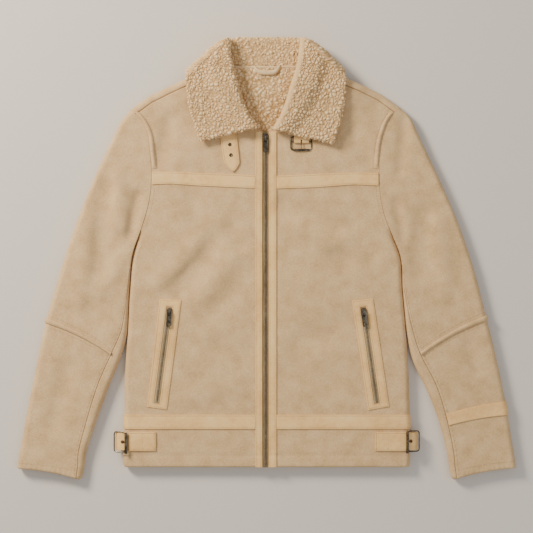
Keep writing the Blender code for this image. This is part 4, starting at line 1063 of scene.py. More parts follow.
# ---- sleeves
@dataclass
class Sleeve:
    """A sleeve: a two-part top, an under sleeve that shows along its inner edge, the padded
    elbow seam, and on the right a leather band across the forearm."""

    side: Side
    step: float = 3.2
    gap: float = 0.7
    row_mm: float = 75.0
    top_width: float = 150.0
    under_coarser: float = 1.7
    elbow: float = 6.0
    elbow_gap: float = 0.003
    seam_edge: float = 1.2
    welt_rows: float = 0.055
    welt_height: float = 3.0
    band: tuple[float, float] = (7.92, 8.26)

    def sections(self, at: Array) -> tuple[list[Array], Array]:
        """Plan curves across the sleeve, from the outer to the inner edge.

        The armhole's curve fades into a straight chord with a bow of its own.

        Args:
            at: Places along the sleeve's table.

        Returns:
            One curve for each place, and the cloth between the inner fold and the seam.
        """
        side, hole = self.side, SLEEVE[self.side.value]
        rows, across = rows_at(hole, at), np.linspace(0, 1, 41)
        hole_y = hole["outer_y"][0] + across * (hole["inner_y"][0] - hole["outer_y"][0])
        hole_curve = np.stack([side_out(side, hole_y) + self.gap, hole_y], -1)
        chord = hole_curve[0] + across[:, None] * (hole_curve[-1] - hole_curve[0])
        curves = []
        for i in range(len(at)):
            outer = np.array([rows["outer_out"][i], rows["outer_y"][i]])
            if at[i] == 0:
                outer = hole_curve[0]
            inner_y = rows["inner_y"][i]
            inner_out = float(side_out(side, inner_y)) + self.gap + max(rows["away"][i], 0)
            line = np.array([inner_out, inner_y]) - outer
            up = np.array([line[1], -line[0]]) / np.linalg.norm(line)
            curve = outer + across[:, None] * line
            curve += np.clip(rows["armhole"][i], 0, 1) * (hole_curve - chord)
            curve -= (rows["bow"][i] * 4 * across * (1 - across))[:, None] * up
            curves.append(curve * (side.sign, 1))
        return curves, rows["seam"]

    def around(self, curve: Array, distance: Array, lower: bool) -> tuple[Array, Array]:
        """Points of the tube and their normals, on one of its layers.

        Args:
            curve: The section's plan curve.
            distance: Distance over the cloth from the outer fold.
            lower: Whether the lower layer is meant.

        Returns:
            Points and normals.
        """
        steps, total = running(curve), self.length(curve)
        far = distance > total / 2
        inward, z, off, up = over_fold(np.where(far, total - distance, distance))
        at = np.where(far, steps[-1] - inward, inward)
        point, ahead, behind = (walk(curve, steps, at + shift) for shift in (0, 1, -1))
        ahead = (ahead - behind) / np.linalg.norm(ahead - behind, axis=1)[:, None]
        plan_normal = ahead * np.where(far, -off, off)[:, None]
        if lower:
            return stacked(point, STACK - z), stacked(plan_normal, -up)
        z = z + relief(point[:, 0], point[:, 1]) * np.clip(up, 0, 1) ** 4
        return stacked(point, z), stacked(plan_normal, up)

    def length(self, curve: Array) -> float:
        """Cloth on one layer of the tube, between the middles of its two folds."""
        return float(running(curve)[-1]) - 2 * FOLD + 2 * QUARTER

    def top(self, name: str, node: str, start: float, stop: float, edges: dict[str, float],
            flat: tuple[float, float], area: float) -> None:
        """Builds one of the two top panels.

        Args:
            name: The piece's name.
            node: The solid that it stands for.
            start: First place along the table.
            stop: Last place.
            edges: Radius of each border.
            flat: Its cut; not used.
            area: The cut's area; not used.
        """
        places = between(start, stop, self.row_mm * (stop - start), self.step)
        curves, seams = self.sections(places)
        columns = int(self.top_width / self.step)
        outer, inner = [], []
        for curve, seam in zip(curves, seams):
            end = self.length(curve) - seam - SEAM / 2
            along = np.concatenate([np.linspace(SEAM / 2, QUARTER, 8)[:-1],
                                    np.linspace(QUARTER, end - NEAR[-1], columns)[:-1],
                                    end - np.array(NEAR[::-1])])
            point, normal = self.around(curve, along, False)
            inside = point - normal * CLOTH
            inside[:, 2] = np.maximum(inside[:, 2], FOLD + SEAM / 2)
            outer.append(point)
            inner.append(inside)
        made = suede_wall(name, node, np.array(outer), np.array(inner), edges,
                          ("start", "end", "last"))

    def under(self) -> None:
        """Builds the under sleeve: from its seam round the inner fold and along the floor."""
        last = len(SLEEVE[self.side.value]["seam"]) - 1
        places = np.linspace(0, last, int(last * self.row_mm / (self.under_coarser * self.step)))
        curves, seams = self.sections(places)
        outer, inner = [], []
        for curve, seam in zip(curves, seams):
            total = self.length(curve)
            share = np.array([1, 0.985, 0.95, 0.88, 0.78, 0.66, 0.54, 0.42, 0.3, 0.2, 0.1])
            upper = total - (seam - SEAM) * share
            lower = np.concatenate([total - np.linspace(0, QUARTER, 8)[:-1],
                                    np.linspace(total - QUARTER, QUARTER, 26),
                                    np.linspace(QUARTER, SEAM / 2, 8)[1:]])
            parts = [self.around(curve, upper, False), self.around(curve, lower, True)]
            point, normal = (np.concatenate([p[k] for p in parts]) for k in (0, 1))
            inside = point - normal * CLOTH
            inside[-8:, 2] = np.minimum(inside[-8:, 2], FOLD - SEAM / 2)
            outer.append(point)
            inner.append(inside)
        outer, inner = half_round(np.array(outer), np.array(inner),
                                  {"first": self.seam_edge, "end": HEM_EDGE,
                                   "start": self.seam_edge})
        made = wall_object("under_sleeve_cloth_" + self.side.value, outer, inner, SUEDE,
                           "under_sleeve_" + self.side.value)

    def strip(self, name: str, node: str, places: Array, rise: Array,
              finish: Finish) -> None:
        """A strip across the top of the sleeve, from its outer fold to its under seam.

        Args:
            name: The piece's name.
            node: The solid that it stands for.
            places: Sections along the sleeve's table.
            rise: Its thickness at each.
            finish: Its finish: suede is gathered, and leather has round edges.
        """
        curves, seams = self.sections(places)
        outer, inner = [], []
        for curve, seam, high in zip(curves, seams, rise):
            end = self.length(curve) - seam - 2 * SEAM
            along = np.concatenate([np.linspace(2 * SEAM, QUARTER, 8)[:-1],
                                    spread(QUARTER, end, 4)])
            point, normal = self.around(curve, along, False)
            outer.append(point + normal * (SEAM + high))
            inner.append(point + normal * SEAM)
        outer, inner = np.array(outer), np.array(inner)
        if finish is SUEDE:
            outer = outer + (0, 0, 0.35) * puckers(outer, ("start", "end"), 7)[..., None]
        else:
            outer, inner = half_round(outer, inner, {"start": 0.7, "end": 0.7})
        wall_object(name, outer, inner, finish, node)

    def build(self) -> None:
        """Builds every piece of the sleeve."""
        side = self.side.value
        sewn = dict.fromkeys(("start", "last"), self.seam_edge)
        self.top("sleeve_top_" + side, "sleeve_upper_" + side, 0, self.elbow - self.elbow_gap,
                 {**sewn, "end": self.seam_edge}, (0.2, 0.44), 0.0615)
        self.top("sleeve_forearm_" + side, "sleeve_lower_" + side, self.elbow + self.elbow_gap, 10,
                 {**sewn, "end": HEM_EDGE}, (0.145, 0.29), 0.0355)
        self.under()
        share = np.linspace(-1, 1, 15)
        self.strip("elbow_seam_" + side, "elbow_welt_" + side,
                   self.elbow + share * self.welt_rows,
                   self.welt_height * np.sqrt(1 - (0.98 * share) ** 2), SUEDE)
        if self.side is Side.RIGHT:
            places = between(*self.band, 26, 3)
            self.strip("forearm_leather_band", "forearm_band_right", places,
                       np.full(len(places), LEATHER), LEATHER_TRIM)


# ---- collar
@dataclass
class Collar:
    """The sherpa collar: a leaf on each front, and behind the neck a stand and a fall."""

    gap: float = 0.6
    edge: float = 3.9
    roll_column: int = 24
    back_half: float = 70.0
    corner_half: float = 66.0
    rows: int = 190
    tuft: float = 5.6
    pile: float = 3.0
    fine_share: float = 0.42
    fine_pile: float = 0.5
    wave: float = 0.9
    floor_gap: float = 0.2
    fill_at: float = 0.36
    fill_in: float = 6.0
    fill_half: tuple[float, float, float] = (8.6, 7.4, 9.4)

    @property
    def roll(self) -> float:
        """Outer radius of the collar's roll."""
        return CLOTH + self.gap / 2

    def floor(self, y: float) -> float:
        """Height of what a front leaf lies on, with the air over the throat strap."""
        under = STACK + UPPER_LIFT * COLLAR_LIFT * ease(y, *LIFT_Y) - 9.6 * ease(y, 352, 396)
        return float(under + 0.6 + 4.6 * (1 - ease(y, 240, 300)))

    def section(self, width: float, base: float, turn: float, stand: float, settle: float,
                run: float) -> tuple[Array, Array, Array, Array]:
        """One section of a leaf: stand, half turn at the roll, leaf, and its own turn.

        Args:
            width: From the roll line to the far edge.
            base: Height of what it lies on.
            turn: Degrees that the far edge turns down.
            stand: Width folded under.
            settle: How far the leaf sinks beyond the stand.
            run: Cloth past the turn.

        Returns:
            Distances from the roll line, heights, and the normal's two parts.
        """
        roll, top = self.roll, base + 2 * self.roll
        radius, turned = (top - settle) / 2, math.radians(turn)
        centre = width - radius * math.sin(min(turned, math.pi / 2))
        under = np.linspace(roll + stand, roll, 13)[:-1]
        half = np.linspace(-1, 1, 25) * math.pi / 2
        over = np.linspace(roll, centre, 96)[1:-1]
        sunk = settle * ease(over, roll + stand + 1, min(roll + stand + 28, centre))
        bend = np.linspace(0, turned, 18)
        end = np.linspace(0, run, 7)[1:]
        distance = np.concatenate([under, roll - roll * np.cos(half), over,
                                   centre + radius * np.sin(bend),
                                   centre + radius * math.sin(turned) + end * math.cos(turned)])
        z_bend = top - settle - radius + radius * np.cos(bend)
        height = np.concatenate([np.full(len(under), base), base + roll + roll * np.sin(half),
                                 top - sunk, z_bend,
                                 np.maximum(z_bend[-1] - end * math.sin(turned), 0)])
        out = np.concatenate([np.zeros(len(under)), -np.cos(half), np.zeros(len(over)),
                              np.sin(bend), np.full(len(end), math.sin(turned))])
        up = np.concatenate([-np.ones(len(under)), np.sin(half), np.ones(len(over)),
                             np.cos(bend), np.full(len(end), math.cos(turned))])
        return distance, height, out, up

    def tufted(self, name: str, node: str, outer: Array, inner: Array,
               edges: dict[str, float], seed: int,
               calm: Array | float = 0.0) -> Piece:
        """A wall of sherpa: rounded, waved, then raised into tufts along its normals.

        Args:
            name: The piece's name.
            node: The solid that it stands for.
            outer: Pile side.
            inner: Cloth side.
            edges: Radius by border.
            seed: Which tufts.
            calm: How flat the pile is pressed at each point, from 0 to 1.

        Returns:
            The object.
        """
        outer, inner = half_round(outer, inner, edges)
        normal = normals_of(outer)
        normal = normal * np.sign((normal * (outer - inner)).sum())
        outer = outer + normal * (self.wave * drift(outer, 34, seed + 40))[..., None]
        loose = 1 - 0.8 * calm
        high = curls(outer, self.tuft, seed) * loose + 0.5 * (1 - loose)
        fine = curls(outer, self.tuft * self.fine_share, seed + 5)
        outer = outer + normal * (self.pile * high + self.fine_pile * fine - 1.0)[..., None]
        outer[..., 2] = np.maximum(outer[..., 2], self.floor_gap)
        # The pile's heights also go to the finish, which paints shade in the gaps and highlight on
        # the crests.
        return wall_object(name, outer, inner, SHERPA, node,
                           np.clip(0.82 * high + 0.2 * fine, 0, 1))

    def leaf(self, side: Side) -> None:
        """Builds one front leaf, which wraps under the shoulder.

        Args:
            side: Which half.
        """
        rows = rows_at(LEAF[side.value], np.linspace(0, 8, self.rows))
        outer, inner = [], []
        for i in range(self.rows):
            roll = np.array([side.sign * rows["roll_out"][i], rows["roll_y"][i]])
            far = np.array([side.sign * rows["far_out"][i], rows["far_y"][i]])
            width = float(np.linalg.norm(far - roll))
            turn = float(np.clip(rows["turn"][i], 14, 180))
            distance, z, out, up = self.section(
                width, self.floor((roll[1] + far[1]) / 2), turn, max(rows["stand"][i], 2),
                max(rows["settle"][i], 0), max(rows["run"][i], 0.8))
            along = (far - roll) / width
            point = stacked(roll + distance[:, None] * along, z)
            outer.append(point)
            inner.append(point - stacked(out[:, None] * along, up) * CLOTH)
        outer, inner = np.array(outer), np.array(inner)
        run = from_border(outer, "first")
        pressed = run - run[:, self.roll_column, None]
        calm = 1 - ease(np.abs(pressed - 5), 5, 12) if side is Side.RIGHT else 0.0
        made = self.tufted("sherpa_leaf_" + side.value, "collar_leaf_" + side.value, outer,
                           inner, dict.fromkeys(("start", "end", "last"), self.edge),
                           3 + len(side.value), calm)

    def back(self) -> None:
        """Builds the stand and fall behind the neck, joined by the fold at the top."""
        roll = np.linspace(-1, 1, 27) * math.pi / 2
        centre = COLLAR_TOP_Y - self.roll
        fall = np.linspace(COLLAR_BACK_EDGE_Y, centre, 50)[:-1]
        stand = np.linspace(0, 1, 34)[1:]
        share = np.linspace(-1, 1, 120)[:, None]
        neck = NECK_SEAM_Y + 0.5 + 2.6 * share**4
        top = COLLAR_TOP_Y - 1.6 * (1 - share**2) - 5 * share**8
        y = np.concatenate([np.broadcast_to(fall, (len(share), len(fall))),
                            top - self.roll + self.roll * np.cos(roll),
                            (top - self.roll) + stand * (neck - top + self.roll)], 1)
        z = np.concatenate([np.zeros(len(fall)), self.roll + self.roll * np.sin(roll),
                            np.full(len(stand), 2 * self.roll)])
        out = np.concatenate([np.zeros(len(fall)), np.cos(roll), np.zeros(len(stand))])
        up = np.concatenate([-np.ones(len(fall)), np.sin(roll), np.ones(len(stand))])
        x = share * (self.back_half + (self.corner_half - self.back_half) * out)
        outer = np.stack([x, y, np.broadcast_to(z, y.shape)], -1)
        inner = np.stack([x, y - out * CLOTH, np.broadcast_to(z - up * CLOTH, y.shape)], -1)
        made = self.tufted("sherpa_back", "collar_back", outer, inner,
                           {"first": self.edge, "last": 2.0}, 23)

    def filling(self, side: Side) -> None:
        """Builds the ball of pile that fills a leaf's rolled end, where it meets the back.

        Args:
            side: Which half.
        """
        last = {name: values[-1] for name, values in LEAF[side.value].items()}
        roll = np.array([side.sign * last["roll_out"], last["roll_y"]])
        along = np.array([side.sign * last["far_out"], last["far_y"]]) - roll
        middle = roll + along * self.fill_at - (0, self.fill_in)
        down = np.linspace(0.08, math.pi - 0.08, 24)
        turn = np.arange(36) / 36 * 2 * math.pi
        out, up = np.sin(down)[:, None], np.cos(down)[:, None]
        ball = np.stack(np.broadcast_arrays(out * np.cos(turn), up, out * np.sin(turn)), -1)
        place = ball * self.fill_half + (middle[0], middle[1], self.fill_half[2] + 7.5)
        high = curls(place, self.tuft, 61)
        points = place + ball * (1.6 * high)[..., None]
        # The tufts' heights colour the pile: painted shade in the gaps, painted highlight on the
        # crests.
        tubes_object("sherpa_filling_" + side.value, points[None], SHERPA,
                     {SHERPA.relief: high})

    def build(self) -> None:
        """Builds the collar's three pieces, and what fills the leaves' ends."""
        self.back()
        for side in Side:
            self.leaf(side)
            self.filling(side)


# ---- sewing
@dataclass
class Sewing:
    """Collects rows of stitches, and lays them all down as one mesh of short threads."""

    name: str
    finish: Finish
    pitch: float = 3.7
    length: float = 2.9
    radius: float = 0.45
    rows: list[tuple[Array, Array]] = field(default_factory=list)

    def add(self, path: Array, up: Array | tuple[float, float, float] = (0, 0, 1.0)) -> None:
        """Adds a row of stitches.

        Args:
            path: Points along the row, on the surface that it is sewn through.
            up: The surface's normal, one for the row or one for each point.
        """
        self.rows.append((np.asarray(path, float), np.broadcast_to(up, np.shape(path))))

    def on_top(self, path: Array, above: float = 0.0) -> None:
        """Adds a row of stitches on the upper layer.

        Args:
            path: Plan points of the row's corners and bends.
            above: Thickness of what lies there.
        """
        steps = running(path)
        plan = walk(path, steps, np.linspace(0, steps[-1], max(int(steps[-1] / 2), 2)))
        self.add(stacked(plan, top_z(plan[:, 0], plan[:, 1]) + above))

    def lay(self) -> None:
        """Builds every stitch: a thread with round ends that dip into the cloth."""
        middles, along, ups = [], [], []
        for path, up in self.rows:
            steps = running(path)
            count = max(int(steps[-1] / self.pitch), 1)
            at = (np.arange(count) + 0.5) * steps[-1] / count
            way = walk(path, steps, at + 1) - walk(path, steps, at - 1)
            over = walk(up, steps, at)
            middles.append(walk(path, steps, at))
            along.append(way / np.linalg.norm(way, axis=1)[:, None])
            ups.append(over / np.linalg.norm(over, axis=1)[:, None])
        middles, along, ups = (np.concatenate(part) for part in (middles, along, ups))
        aside = np.cross(ups, along)
        turn = np.arange(6) / 6 * 2 * math.pi
        ends = table("at thick dip", [(-1, 0.5, -0.45), (0, 1, 0), (1, 0.5, -0.45)])
        centre = (middles[:, None] + along[:, None] * (ends["at"] * self.length / 2)[:, None]
                  + ups[:, None] * (0.25 * self.radius + ends["dip"] * self.radius)[:, None])
        ring = (aside[:, None] * np.cos(turn)[:, None] + ups[:, None] * np.sin(turn)[:, None])
        points = (centre[:, :, None] + ring[:, None]
                  * (self.radius * ends["thick"])[None, :, None, None])
        tubes_object(self.name, points, self.finish)


# ---- leather trims
def furrow(away: Array) -> Array:
    """Depth of the furrow that a row of stitches presses, by the distance from the row."""
    return FURROW * np.exp(-((away / FURROW_WIDTH) ** 2))


@dataclass
class Trims:
    """Leather on the body: bindings beside the zip, and bands across yoke and hem."""

    sewing: Sewing
    stitch_in: float = 2.4

    def grooved(self, plan: Array, sides: tuple[str, ...]) -> Array:
        """Depth of the furrow that a row of stitches presses into leather.

        A bell of the distance from the row.

        Args:
            plan: Plan grid of the piece.
            sides: Borders that have a row.

        Returns:
            The depth at each point.
        """
        total = np.zeros(plan.shape[:2])
        for side in sides:
            total += furrow(from_border(plan, side) - self.stitch_in)
        return total

    def lay(self, name: str, plan: Array, node: str, sides: tuple[str, ...],
            thickness: float = LEATHER, above: float = SEAM) -> Piece:
        """Lays a piece of leather on the upper layer.

        Args:
            name: The piece's name.
            plan: Plan grid.
            node: The solid that it stands for.
            sides: Borders that are stitched.
            thickness: Its thickness.
            above: Gap under it.

        Returns:
            The object.
        """
        base = top_z(plan[..., 0], plan[..., 1]) + above
        place = stacked(plan, 0)
        high = thickness - self.grooved(plan, sides) + 0.14 * drift(place, 14, 9)
        edges = dict.fromkeys(("start", "end", "first", "last"), LEATHER_EDGE)
        outer, inner = half_round(stacked(plan, base + high), stacked(plan, base), edges)
        made = wall_object(name, outer, inner, LEATHER_TRIM, node)
        for side in sides:
            line = {"start": plan, "end": plan[::-1], "first": plan.swapaxes(0, 1),
                    "last": plan.swapaxes(0, 1)[::-1]}[side]
            away = from_border(line, "start")
            row = np.array([walk(line[:, j], away[:, j], self.stitch_in)
                            for j in range(line.shape[1])])
            self.sewing.on_top(row, above + thickness - THREAD_SUNK)
        return made

    def beside_binding(self, side: Side) -> float:
        """Distance from the middle at which a band that meets the binding starts."""
        return abs(FRONT_EDGE[side] + side.sign * BINDING_WIDTH[side]) + SEAM

    def binding(self, side: Side) -> None:
        """Builds the binding beside the zip.

        Args:
            side: Which half.
        """
        edge = FRONT_EDGE[side]
        far, near = edge + side.sign * BINDING_WIDTH[side], edge + side.sign * 0.2
        x = between(near, far, abs(far - near), 1.5)
        y = spread(HEM_Y, FRONT_TOP_Y - 0.5, 3)
        plan = np.stack(np.meshgrid(x, y), -1)
        self.lay("zip_binding_leather_" + side.value, plan, "zip_binding_" + side.value,
                 ("first", "last"), above=0.5)

    def yoke(self, side: Side) -> None:
        """Builds the band that covers the yoke seam.

        Args:
            side: Which half.
        """
        rows = YOKE_TRIM[side.value]
        start = self.beside_binding(side)
        out = spread(start, float(side_out(side, 145)) - 1, 3)
        top, bottom = (np.interp(out, rows["out"], rows[name]) for name in ("top", "bottom"))
        share = between(0, 1, 22, 1.6)[:, None]
        plan = np.stack([np.broadcast_to(side.sign * out, (len(share), len(out))),
                         top + share * (bottom - top)], -1)
        self.lay("yoke_leather_" + side.value, plan, "yoke_trim_" + side.value,
                 ("start", "end"))

    def hem(self, side: Side) -> None:
        """Builds the band that covers the hem seam and bends round the side fold.

        Args:
            side: Which half.
        """
        y = between(*HEM_TRIM, 26, 1.6)
        start = self.beside_binding(side)
        reach = float(side_out(side, y).mean()) - FOLD - start
        along = np.concatenate([np.linspace(0.45, QUARTER, 12)[:-1],
                                QUARTER + spread(0, reach, 3)])
        inward, z, off, up = over_fold(along)
        out = side_out(side, y)[:, None] - inward
        x = side.sign * out
        level = np.broadcast_to(y[:, None], out.shape)
        wave = relief(x, level) * np.clip(up, 0, 1) ** 4
        point = np.stack([x, level, z + wave], -1)
        normal = np.stack([-side.sign * off, np.zeros_like(off), up], -1)
        flat = np.stack([np.broadcast_to(along, out.shape), level], -1)
        high = LEATHER + 0.5 - self.grooved(flat, ("start", "end"))
        outer, inner = half_round(point + normal * high[..., None], point + normal * 0.5,
                                  dict.fromkeys(("start", "end", "last"), LEATHER_EDGE))
        wall_object("hem_leather_" + side.value, outer, inner, LEATHER_TRIM,
                    "hem_trim_" + side.value)
        for row in (np.argmin(abs(y - y[0] + self.stitch_in)),
                    np.argmin(abs(y - y[-1] - self.stitch_in))):
            self.sewing.add(point[row] + normal * (LEATHER + 0.35),
                            np.broadcast_to(normal, point[row].shape))

    def build(self) -> None:
        """Builds the trims of both sides."""
        for side in Side:
            self.binding(side)
            self.yoke(side)
            self.hem(side)


# ---- zips
@dataclass
class Chain:
    """A closed zip: a woven tape with a cord on each side of two rows of metal teeth."""

    name: str
    top: tuple[float, float]
    bottom: tuple[float, float]
    half_tape: float
    base: float
    on_cloth: bool
    pitch: float = 1.35
    tooth: tuple[float, float, float] = (3.3, 1.0, 1.7)

    def frame(self) -> tuple[Array, Array, Array, float]:
        """The zip's top end, its direction, the direction across it, and its length.

        Returns:
            The end and the two directions in plan, and the length.
        """
        top, bottom = np.array(self.top, float), np.array(self.bottom, float)
        length = float(np.linalg.norm(bottom - top))
        down = (bottom - top) / length
        return top, down, np.array([-down[1], down[0]]), length

    def height(self, plan: Array) -> Array:
        """Height of the tape's underside at plan points."""
        if self.on_cloth:
            return top_z(plan[..., 0], plan[..., 1]) + self.base
        return np.full(plan.shape[:-1], self.base)

    def tape(self, node: str, thickness: float) -> None:
        """Builds the tape.

        Args:
            node: The solid that it stands for.
            thickness: Its thickness.
        """
        top, down, aside, length = self.frame()
        across = np.linspace(-self.half_tape, self.half_tape, 17)
        along = spread(0, length, 4)
        plan = top + along[:, None, None] * down + across[None, :, None] * aside
        cord = 0.5 * np.exp(-(((np.abs(across) - 2.9) / 0.6) ** 2)) - 0.4 * np.exp(
            -((across / 0.7) ** 2))
        z = self.height(plan)
        wall_object(self.name + "_tape", stacked(plan, z + thickness + cord),
                    stacked(plan, z), TAPE, node)

    def teeth(self, node: str | None, start: float, thickness: float) -> None:
        """Builds the teeth: rounded blocks that reach over the middle by turns.

        Args:
            node: The solid that they stand for, if they have one of their own.
            start: Distance from the top end to the first tooth.
            thickness: Height of the teeth's underside above the tape's.
        """
        top, down, aside, length = self.frame()
        at = np.arange(start, length - 1, self.pitch)
        hand = np.where(np.arange(len(at)) % 2, 1.0, -1.0)
        long, wide, high = self.tooth
        ring = table("u v", [(-1, -0.6), (-0.8, -1), (0.8, -1), (1, -0.6), (1, 0.6), (0.8, 1),
                             (-0.8, 1), (-1, 0.6)])
        level = table("z size", [(0, 0.85), (0.25, 1), (0.75, 1), (1, 0.72)])
        u = (ring["u"] * long / 2)[None] * level["size"][:, None]
        v = (ring["v"] * wide / 2)[None] * level["size"][:, None]
        middle = top + at[:, None] * down + (hand * 0.75)[:, None] * aside
        plan = (middle[:, None, None] + u[None, ..., None] * aside + v[None, ..., None] * down)
        z = self.height(middle)[:, None, None] + thickness + (level["z"] * high)[None, :, None]
        tubes_object(self.name + "_teeth", stacked(plan, z), TEETH, node=node)


@dataclass
class Pocket:
    """A slanting pocket: a mitred leather frame round a closed zip."""

    side: Side
    sewing: Sewing
    slot: float = 5.2
    stitch_in: float = 2.5

    def build(self) -> None:
        """Builds the frame, the zip in its opening, and both rows of stitches."""
        side = self.side.value
        corner = np.stack([POCKET[side]["x"], POCKET[side]["y"]], -1)
        top, bottom = (np.array(end, float) for end in POCKET_ZIP[side])
        down = (bottom - top) / np.linalg.norm(bottom - top)
        aside = np.array([-down[1], down[0]]) * self.side.sign
        ends, half = (top + down * 2, bottom + down * 4), aside * self.slot
        hole = np.array([ends[0] + half, ends[0] - half, ends[1] - half, ends[1] + half])
        outer, inner = [], []
        for k, (size, step) in enumerate(((36, 2.0), (198, 3.0), (36, 2.0), (198, 3.0))):
            share = (spread(0, size, step)[:-1] / size)[:, None]
            outer.append(corner[k] + share * (corner[(k + 1) % 4] - corner[k]))
            inner.append(hole[k] + share * (hole[(k + 1) % 4] - hole[k]))
        outer, inner = np.concatenate(outer), np.concatenate(inner)
        wide = np.linalg.norm(inner - outer, axis=1)[:, None]
        across = np.linspace(0, 1, 17)
        flat = across * wide
        edge = np.minimum(flat, wide - flat)
        inset = LEATHER_EDGE - np.minimum(edge, LEATHER_EDGE)
        high = LEATHER - LEATHER_EDGE + np.sqrt(np.clip(LEATHER_EDGE**2 - inset**2, 0, None))
        high = high - furrow(edge - self.stitch_in)
        plan = outer[:, None] + across[None, :, None] * (inner - outer)[:, None]
        floor = top_z(plan[..., 0], plan[..., 1]) + SEAM
        rings = np.concatenate([stacked(plan, floor + high),
                                stacked(plan[:, [-1, 0]], floor[:, [-1, 0]])], 1)
        loop_object("pocket_leather_" + side, rings, LEATHER_TRIM, "pocket_frame_" + side)
        for share in (self.stitch_in / wide, 1 - self.stitch_in / wide):
            line = outer + share * (inner - outer)
            line = np.concatenate([line, line[:1]])
            self.sewing.on_top(line, SEAM + LEATHER - THREAD_SUNK)
        chain = Chain("pocket_zip_" + side, tuple(top + down * 4), tuple(bottom + down * 3),
                      self.slot - 0.4, SEAM, True, tooth=(2.7, 0.95, 1.1))
        chain.tape("pocket_chain_" + side, 1.0)
        chain.teeth(None, 7.0, 0.9)


# ---- straps and seams
def bored(made: Piece, holes: list[tuple[float, float, float]], depth: float,
          above: float) -> None:
    """Cuts round holes down through a piece, and keeps the cut mesh.

    Args:
        made: The piece.
        holes: Each hole's place in plan and its radius.
        depth: How far down the holes go from the given height.
        above: That height.
    """
    for x, y, radius in holes:
        turn = np.arange(24) / 24 * 2 * math.pi
        ring = np.stack([x + radius * np.cos(turn), y + radius * np.sin(turn)], -1)
        points = np.concatenate([stacked(ring, above - depth), stacked(ring, above)]) * MM
        index = np.arange(24)
        ahead = np.roll(index, -1)
        faces = [*np.stack([index, ahead, ahead + 24, index + 24], -1).tolist(),
                 index[::-1].tolist(), (index + 24).tolist()]
        mesh = bpy.data.meshes.new("bore")
        mesh.from_pydata(points.tolist(), [], faces)
        cutter = bpy.data.objects.new("bore", mesh)
        bpy.context.scene.collection.objects.link(cutter)
        modifier = made.modifiers.new("bore", "BOOLEAN")
        modifier.operation, modifier.object, modifier.solver = "DIFFERENCE", cutter, "EXACT"
        bpy.context.view_layer.update()
        graph = bpy.context.evaluated_depsgraph_get()
        result = bpy.data.meshes.new_from_object(made.evaluated_get(graph), depsgraph=graph)
        made.modifiers.clear()
        made.data = result
        bpy.data.objects.remove(cutter)
    made.data.set_sharp_from_angle(angle=math.radians(40))


